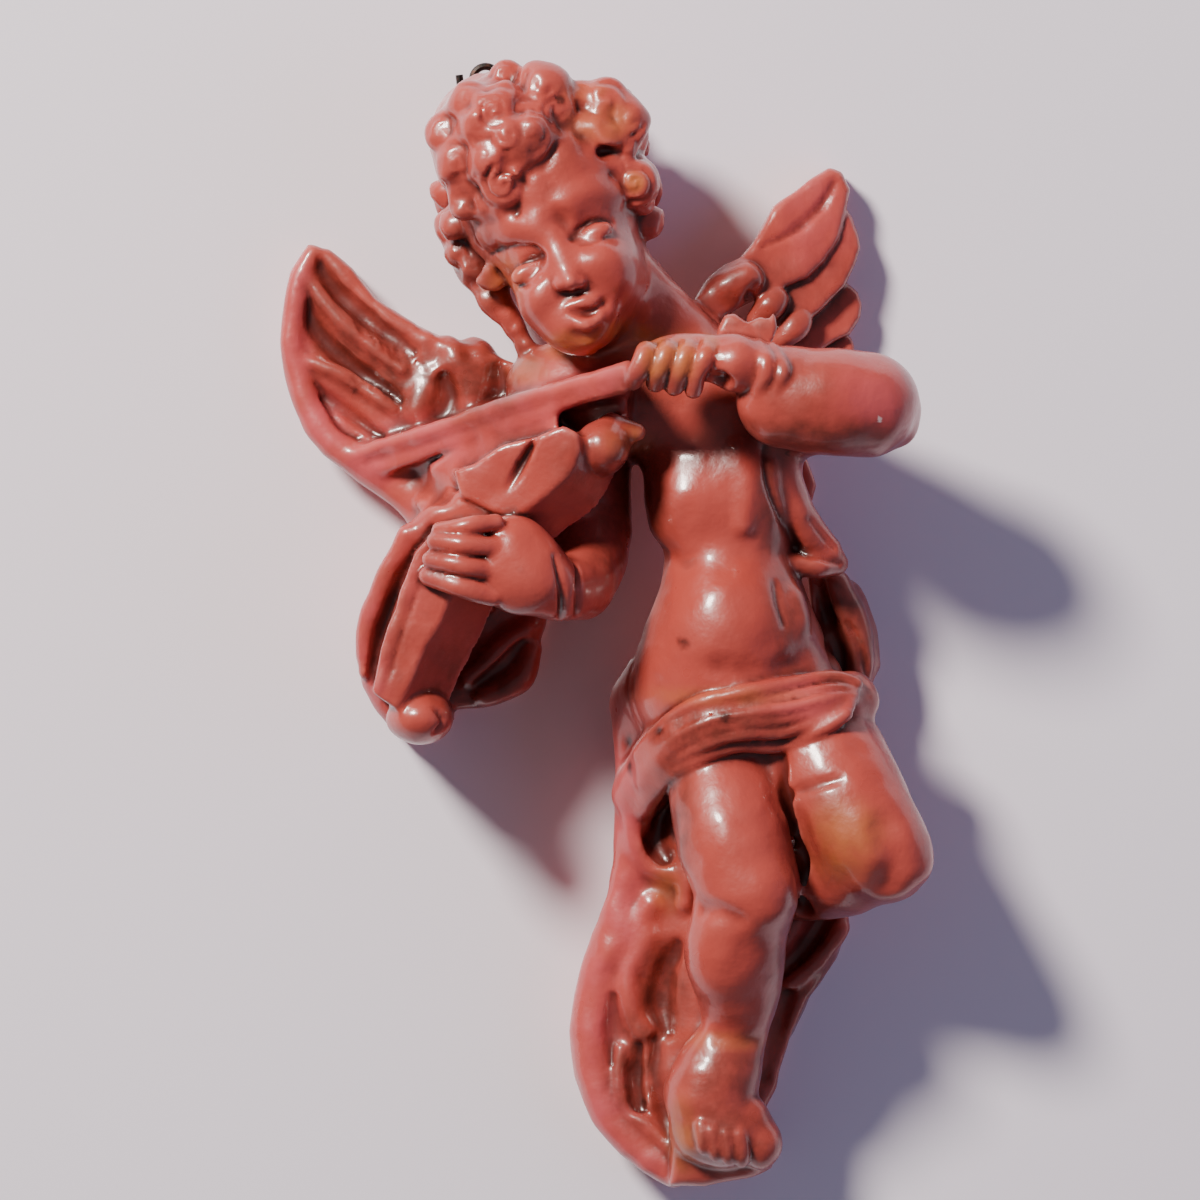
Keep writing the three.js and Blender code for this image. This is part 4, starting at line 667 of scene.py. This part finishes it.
def snail(u, w, size, hand):
    """A round lump with a spiral groove wound into its front, one way or the other."""
    turns, steps = 1.7, 13
    add(ball([u, front(u, w) - size * 0.4, w], [size, size * 0.75, size]), 5)
    path = []
    for i in range(steps + 1):
        t = i / steps
        angle = hand * (turns * 2 * math.pi * t + u * 0.13)
        wide = size * (0.86 - 0.78 * t)
        path.append([u + wide * math.cos(angle), w + wide * math.sin(angle), size * (0.15 - 0.05 * t), 0.5])
    furrow(path, 2.5)


add(ball([-132, 122, 922], [62, 96, 66], posed(20)), 10)
add(ball([-98, 118, 952], [38, 76, 44]), 12)
add(ball([-122, 162, 904], [32, 52, 44], posed(-20)), 8)
add(ball([-104, 160, 928], [24, 50, 26], posed(-20)), 8)
add(ball([-38, 116, 936], [36, 66, 40]), 8)
add(limb([[-166, 84, 850, 24], [-153, 90, 818, 20], [-137, 98, 790, 14], [-119, 100, 762, 9],
    [-108, 100, 742, 7]]), 10)
ring(90, 86, 40, 9, -30, 215, 19)
for u, w, size in [[-94, 972, 27], [-128, 980, 18], [-160, 958, 22], [-182, 932, 20], [-132, 958, 22],
        [-106, 948, 20], [-94, 924, 14], [-98, 910, 11], [-150, 936, 20], [-104, 926, 20]]:
    lock(u, w, size)
snail(-81, 951, 15, -1)
lock(-128, 928, 21)
lock(-172, 906, 21)
curl(-144, 908, 22, 1)
for u, w, size in [[-114, 908, 15], [-118, 894, 13], [-162, 882, 20]]:
    lock(u, w, size)
furrow([[-82, 920, 3, 0], [-92, 903, 4, 0], [-109, 892, 4, 0], [-116, 876, 4, 0], [-118, 860, 3, 0]], 5)
lock(-146, 870, 17)
lock(-130, 866, 12)
snail(-129, 885, 20, 1)
snail(-137, 950, 16, -1)
snail(-103, 931, 15, 1)
curl(-186, 880, 16, 1)
for u, w, size in [[-166, 866, 13], [-38, 958, 27], [-62, 962, 15], [-18, 944, 22]]:
    lock(u, w, size)
curl(-40, 932, 20, 1)
lock(-58, 936, 13)
lock(-22, 922, 15)
cut(ball([-39, front(-39, 914), 914], [9, 10, 6]), 4)
curl_at(-8, 152, 888, 29, 1)
snail(-14, 887, 21, 1)
curl_at(3, 126, 852, 17, -1)
lock(-30, 902, 12)
curl_at(-178, 122, 850, 15, -1)
lock(-170, 828, 14)
curl_at(-143, 132, 799, 13, 1)
for u, w, size in [[-157, 812, 12], [-142, 784, 10], [-130, 772, 9], [-121, 758, 8], [-112, 744, 7]]:
    lock(u, w, size)
cut(limb([[-147, 150, 838, 5], [-155, 150, 822, 8], [-146, 150, 812, 5]]), 5)
cut(ball([-126, 156, 782], [9, 16, 7], posed(60)), 4)
cut(ball([-146, 5, 990], [14, 22, 15]), 5)
rough([-215, -92], [846, 1010], 15, 1.5)
rough([-76, 34], [900, 990], 15, 1.5)
rough([-215, -118], [740, 852], 12, 1.4)
rough([-340, 260], [-12, 1012], 17, 0.6)

# The skin of the casting. The back is cut flat where the open face of the mould was struck off, and the
# samples are turned into a mesh. Each point keeps how deep in a hollow it lies, for the shade painted there
# and for the paint that pools there.
def sampled(field, points):
    """The value of a field at each point, between the eight samples round it."""
    where = (points - LOW) / GRID
    base = np.clip(np.floor(where).astype(int), 0, COUNT - 2)
    t = where - base
    value = np.zeros(len(points))
    for corner in np.ndindex(2, 2, 2):
        share = np.prod(np.where(corner, t, 1 - t), axis=1)
        value += share * field[tuple((base + corner).T)]
    return value


TRIANGLES = 190000  # kept when the mesh is thinned
SHELL = 20  # how far to either side of the surface the distances count
NEAR_REACH, WIDE_REACH = 2, 5  # of the hollows that are looked for, in samples
clay[:] = np.maximum(clay, -rulers[1][None, :, None])
level = openvdb.FloatGrid(float(SHELL))
level.copyFromArray(np.clip(clay, -SHELL, SHELL))
corners, faces = level.convertToQuads()
points = np.array(corners) * GRID + LOW
solid = (clay < 0).astype(np.float32)
marks = {
    "near_hollow_shading": sampled(blurred(solid, NEAR_REACH), points),
    "wide_hollow_shading": sampled(blurred(blurred(solid, WIDE_REACH), WIDE_REACH), points),
}


def spots(places):
    """Soft ovals round [u, w, half width, half height, strength] places, seen from the front."""
    fall_off = 0.7
    most = np.zeros(len(points))
    for u, w, wide, high, strength in places:
        away = ((points[:, 0] - u) / wide) ** 2 + ((points[:, 2] - w) / high) ** 2
        most = np.maximum(most, strength * np.exp(-away * away * fall_off))
    return most


# A browner coat brushed over the first and wiped off the high parts, on the feathers, the gathered waist and
# the folds of sash and drapery; and painted shade in the same brown on the shaded sides of body and legs,
# under the bowing arm and the bow, beside the torso and in the hollows of the sleeve and hair.
marks["brown_coat"] = spots([[-288, 776, 22, 46, 0.9], [-256, 742, 40, 38, 0.9], [-218, 716, 36, 34, 1],
    [-150, 716, 42, 40, 1], [-116, 738, 22, 26, 0.8], [176, 492, 34, 62, 1], [108, 606, 14, 62, 0.8],
    [128, 520, 26, 64, 0.7], [60, 404, 66, 22, 0.9], [-12, 104, 26, 52, 1], [12, 172, 22, 44, 1],
    [20, 330, 18, 60, 0.9], [148, 306, 34, 58, 0.5], [140, 180, 34, 80, 0.9], [130, 664, 84, 16, 0.8],
    [128, 708, 30, 30, 0.6], [-20, 590, 34, 100, 0.8], [-150, 450, 44, 40, 1], [-196, 560, 18, 30, 0.5],
    [-232, 500, 20, 60, 0.5], [96, 786, 50, 34, 0.7], [160, 806, 20, 30, 0.4], [-160, 812, 24, 60, 0.8],
    [-92, 916, 30, 22, 0.5], [76, 100, 50, 30, 0.7], [60, 44, 58, 34, 0.8], [-6, 700, 30, 26, 0.7],
    [-52, 640, 34, 26, 0.6]])
# Where the paint is thin and rubbed and an old gold bronze under it shows through.
marks["gold_under"] = spots([[-62, 744, 26, 12, 1], [-22, 752, 26, 12, 0.8], [-128, 800, 14, 22, 0.7],
    [-14, 887, 9, 9, 0.9], [-42, 941, 26, 18, 0.6], [-58, 968, 18, 9, 0.8], [172, 312, 30, 34, 0.6],
    [14, 264, 12, 20, 0.7], [6, 734, 14, 20, 1], [30, 734, 14, 20, 1], [50, 742, 8, 12, 0.9],
    [-110, 722, 18, 12, 0.35], [28, 46, 12, 34, 0.6], [66, 132, 44, 8, 0.4], [62, 436, 70, 8, 0.4],
    [-20, 660, 22, 14, 0.5]])
# Pink on the upper and left rims of wing and drapery, on the bow and the outer side of the sleeve: a thick
# pink coat, and painted light where the light from the upper left falls on these rims.
marks["pink_coat"] = spots([[-314, 770, 14, 70, 1], [-292, 672, 26, 34, 1], [-252, 638, 26, 22, 1],
    [-200, 660, 60, 26, 0.9], [-110, 690, 50, 24, 0.8], [-50, 712, 34, 18, 0.8], [-250, 470, 20, 90, 0.8],
    [-216, 560, 26, 40, 0.6], [-52, 150, 26, 80, 1], [-34, 60, 26, 46, 1], [0, 16, 34, 18, 0.8],
    [-24, 290, 22, 110, 0.9], [148, 860, 30, 44, 0.5], [200, 700, 40, 30, 0.6], [140, 434, 40, 18, 0.6]])
# Dark spots where air bubbles have left small pits that the clay doesn't cut: painted shade of the pits, and
# dirt in them. None is on the low parts by the wall.
PITTED = 45  # and farther out
marks["pit"] = spots([[-79, 959, 4, 4, 1], [29, 483, 4.5, 4, 1], [66, 417, 4.5, 4.5, 1],
    [8, 405, 3.5, 3.5, 1], [-5, 74, 3, 3, 1], [-18, 372, 2, 6, 1], [-18, 396, 2, 6, 1],
    [121, 650, 2.5, 3, 0.8], [-116, 640, 3, 3, 0.8], [-262, 706, 3, 3, 0.7]]) * (points[:, 1] > PITTED)
# Pale specks on the bowing arm and its hand: chips down to the white plaster, and painted glints.
SPECKED = 150  # likewise
marks["bare_chip"] = spots([[61, 733, 4, 3, 1], [195, 694, 2, 2, 1], [198, 684, 2, 2, 1],
    [202, 677, 2, 1.6, 1]]) * (points[:, 1] > SPECKED)
mesh = bpy.data.meshes.new("cherub")
mesh.from_pydata(((points - EYE_AT) * [UNIT, -UNIT, UNIT]).tolist(), [], faces.tolist())
for name, values in marks.items():
    mesh.attributes.new(name, "FLOAT", "POINT").data.foreach_set("value", values.astype(np.float32))
cherub = bpy.data.objects.new("painted_cherub", mesh)
bpy.context.scene.collection.objects.link(cherub)
thinner = cherub.modifiers.new("thinner", "DECIMATE")
thinner.ratio = TRIANGLES / (2 * len(faces))
bpy.context.view_layer.objects.active = cherub
bpy.ops.object.modifier_apply(modifier=thinner.name)
mesh = cherub.data
mesh.polygons.foreach_set("use_smooth", [True] * len(mesh.polygons))
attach(cherub, "root")
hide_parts("cherub_casting")

# The paint. The plaster was gilt with bronze paint once. A thick coat of brick-red enamel is brushed over
# that, and a browner one over it, wiped off the high parts. Shade is painted into the hollows and on the
# shaded sides, and light on the rims and high parts. The marks of brush and plaster show through.
def linear(code):
    """A colour for the shader from its sRGB hex value."""
    parts = [int(code[i:i + 2], 16) / 255 for i in (1, 3, 5)]
    return [c / 12.92 if c <= 0.04045 else ((c + 0.055) / 1.055) ** 2.4 for c in parts] + [1.0]


def node(material, kind, settings=None, links=None):
    """Adds a node: settings are its properties and unlinked inputs, links its inputs from other outputs."""
    made = material.node_tree.nodes.new(kind)
    for key, value in (settings or {}).items():
        if isinstance(key, str) and hasattr(made, key):
            setattr(made, key, value)
        else:
            made.inputs[key].default_value = value
    for key, source in (links or {}).items():
        material.node_tree.links.new(source, made.inputs[key])
    return made


# Enamel, brushed on thickly: wet-looking gloss over the plaster's grain, brown where the second coat is
# left, pink where the first is thickest, and dull gold where it is rubbed thin, with painted shade in the
# hollows and on shaded sides, and painted light on the rims and high parts.
paint = bpy.data.materials.new("brick_red_enamel_with_painted_shading")
paint.use_nodes = True
paint.node_tree.nodes.clear()
place = node(paint, "ShaderNodeTexCoord").outputs["Object"]
# Sizes in metres: of the coat's unevenness, of dabs, of the brush's marks and of the plaster's grain. The
# grain is drawn about three times as coarse as it is, or it wouldn't show.
patterns = {}
for name, size in (("cloud", 0.022), ("blotch", 0.006), ("brush", 0.0024), ("grain", 0.0009)):
    patterns[name] = node(paint, "ShaderNodeTexNoise", {"Scale": 1 / size, "Detail": 3.0},
                          {"Vector": place}).outputs["Fac"]
coat = node(paint, "ShaderNodeMix", {"data_type": "RGBA", 6: linear("#9C392F"), 7: linear("#B04A40")},
            {0: patterns["cloud"]}).outputs[2]

# What shows instead of the first coat: its mark, the mark's values where it starts and is whole, how much
# of it shows at most, the pattern that breaks it up, what is left where it is broken, and its colour.
over = [
    ["pink_coat", 0.0, 1.0, 1.0, "blotch", 0.3, "#BC4C50"],
    ["brown_coat", 0.0, 1.0, 1.0, "brush", 0.4, "#6A2B22"],
    ["gold_under", 0.0, 1.1, 1.0, "blotch", 0.1, "#B0642E"],
    # Painted shade: near black-brown deep in small and broad hollows, where paint also pools.
    ["near_hollow_shading", 0.51, 0.67, 1.0, "blotch", 0.6, "#3E120E"],
    ["wide_hollow_shading", 0.54, 0.8, 1.0, "blotch", 0.6, "#3E120E"],
    # Painted light, and wear: lighter pink where a point lies least in a hollow, on the open high parts.
    ["near_hollow_shading", 0.45, 0.3, 0.5, "brush", 0.0, "#C9685C"],
    ["pit", 0.0, 0.8, 0.9, "grain", 0.7, "#34120D"],
    ["bare_chip", 0.3, 0.5, 1.0, "grain", 0.7, "#DDBFB4"],
]
BROKEN, UNBROKEN = 0.3, 0.62  # values of a pattern where what shows is broken up, and where it is whole
for name, start, whole, most, pattern, least, colour in over:
    lies = node(paint, "ShaderNodeAttribute", {"attribute_name": name}).outputs["Fac"]
    thick = node(paint, "ShaderNodeMapRange", {"From Min": start, "From Max": whole, "To Max": most},
                 {"Value": lies}).outputs[0]
    broken = node(paint, "ShaderNodeMapRange", {"From Min": BROKEN, "From Max": UNBROKEN, "To Min": least},
                  {"Value": patterns[pattern]}).outputs[0]
    share = node(paint, "ShaderNodeMath", {"operation": "MULTIPLY"}, {0: thick, 1: broken}).outputs[0]
    coat = node(paint, "ShaderNodeMix", {"data_type": "RGBA", 7: linear(colour)},
                {0: share, 6: coat}).outputs[2]
skin = node(paint, "ShaderNodeNewGeometry").outputs["Normal"]
for name, strength, metres in (("blotch", 0.4, 0.0006), ("brush", 0.45, 0.00022), ("grain", 0.5, 0.00008)):
    skin = node(paint, "ShaderNodeBump", {"Strength": strength, "Distance": metres},
                {"Height": patterns[name], "Normal": skin}).outputs[0]
gloss = node(paint, "ShaderNodeMapRange", {"From Min": 0.3, "From Max": 0.7, "To Min": 0.26, "To Max": 0.48},
             {"Value": patterns["blotch"]}).outputs[0]  # roughness
surface = node(paint, "ShaderNodeBsdfPrincipled", {"IOR": 1.5, "Coat Weight": 0.5, "Coat Roughness": 0.13},
               {"Base Color": coat, "Roughness": gloss, "Normal": skin})
node(paint, "ShaderNodeOutputMaterial", links={"Surface": surface.outputs[0]})
cherub.data.materials.append(paint)

# The hanger. A loop of soft iron wire, blackened with age. On the real plaque its legs are cast into the back
# of the head, but here they stand free behind it. It is shown by its CAD node.
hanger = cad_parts["hanger_wire"]
# Iron wire, drawn and left bare: a dull dark metal under a thin crust, brown where it rusts.
CRUST = 0.0008  # size of a patch of it, in metres
iron = bpy.data.materials.new("blackened_iron_wire")
iron.use_nodes = True
iron.node_tree.nodes.clear()
place = node(iron, "ShaderNodeTexCoord").outputs["Object"]
crust = node(iron, "ShaderNodeTexNoise", {"Scale": 1 / CRUST, "Detail": 4.0}, {"Vector": place}).outputs[0]
rust = node(iron, "ShaderNodeMapRange", {"From Min": 0.5, "From Max": 0.68}, {"Value": crust}).outputs[0]
colour = node(iron, "ShaderNodeMix", {"data_type": "RGBA", 6: linear("#25211F"), 7: linear("#4A2E25")},
              {0: rust}).outputs[2]
dull = node(iron, "ShaderNodeMapRange", {"To Min": 0.35, "To Max": 0.6}, {"Value": crust}).outputs[0]
pitted = node(iron, "ShaderNodeBump", {"Strength": 0.4, "Distance": 0.00008}, {"Height": crust}).outputs[0]
surface = node(iron, "ShaderNodeBsdfPrincipled", {"Metallic": 0.8},
               {"Base Color": colour, "Roughness": dull, "Normal": pitted})
node(iron, "ShaderNodeOutputMaterial", links={"Surface": surface.outputs[0]})
hanger.data.materials.clear()
hanger.data.materials.append(iron)

# The room. The plaque hangs on a pale wall, which is clear from behind so that the back is seen too. A soft
# window of light stands high on the left, a dim cool one on the right fills the shadows, and a lamp behind
# the wall lights the back.
WALL_SIDE = 1.6  # metres
WALL_GAP = 0.0012  # behind the flat back
made = bmesh.new()
bmesh.ops.create_grid(made, x_segments=1, y_segments=1, size=WALL_SIDE / 2)
bmesh.ops.rotate(made, verts=made.verts, matrix=Matrix.Rotation(math.pi / 2, 3, "X"))
bmesh.ops.translate(made, verts=made.verts, vec=(0, WALL_GAP, -HEIGHT / 2))
wall_mesh = bpy.data.meshes.new("wall")
made.to_mesh(wall_mesh)
made.free()
wall = bpy.data.objects.new("wall", wall_mesh)
bpy.context.scene.collection.objects.link(wall)
# Limewashed plaster: matt and nearly white, so it shows no highlight.
plain = bpy.data.materials.new("limewashed_wall")
plain.use_nodes = True
plain.node_tree.nodes.clear()
sight = node(plain, "ShaderNodeNewGeometry").outputs["Backfacing"]
chalk = node(plain, "ShaderNodeBsdfDiffuse", {"Color": linear("#E6DFE8")}).outputs[0]
clear = node(plain, "ShaderNodeBsdfTransparent").outputs[0]
both = node(plain, "ShaderNodeMixShader", links={0: sight, 1: chalk, 2: clear}).outputs[0]
node(plain, "ShaderNodeOutputMaterial", links={"Surface": both})
wall_mesh.materials.append(plain)
wall.visible_shadow = False  # so that the lamp behind it reaches the back of the plaque

MIDDLE = Vector((0.0168, -0.016, -0.0765))  # of the picture
PICTURE = 0.1752  # its side, in metres
CAMERA_DISTANCE = 2.0
camera_data = bpy.data.cameras.new("camera")
camera_data.sensor_width = 36
camera_data.lens = camera_data.sensor_width * CAMERA_DISTANCE / PICTURE
camera_data.clip_start = 0.05
camera_data.clip_end = 50
camera = bpy.data.objects.new("camera", camera_data)
camera.location = MIDDLE + Vector((0, -CAMERA_DISTANCE, 0))
camera.rotation_euler = (math.pi / 2, 0, 0)
bpy.context.scene.collection.objects.link(camera)
bpy.context.scene.camera = camera


def lamp(name, place, across, watts, colour):
    """A round soft light that faces the middle of the picture, from a place measured from there."""
    data = bpy.data.lights.new(name, "AREA")
    data.shape = "DISK"
    data.size = across
    data.energy = watts
    data.color = linear(colour)[:3]
    made = bpy.data.objects.new(name, data)
    made.location = MIDDLE + Vector(place)
    made.rotation_euler = (-Vector(place)).to_track_quat("-Z", "Y").to_euler()
    bpy.context.scene.collection.objects.link(made)
    return made


lamp("window", (-0.55, -0.75, 0.6), across=0.24, watts=26, colour="#FFF6EE")
fill = lamp("fill", (1.3, -0.8, -0.2), across=1.4, watts=7, colour="#B8BEFF")
fill.visible_glossy = False
lamp("behind", (-0.5, 0.9, 0.5), across=0.5, watts=9, colour="#FFFFFF")
world = bpy.data.worlds.new("room")
world.use_nodes = True
world.node_tree.nodes["Background"].inputs["Color"].default_value = linear("#E4DEE8")
world.node_tree.nodes["Background"].inputs["Strength"].default_value = 0.18
bpy.context.scene.world = world
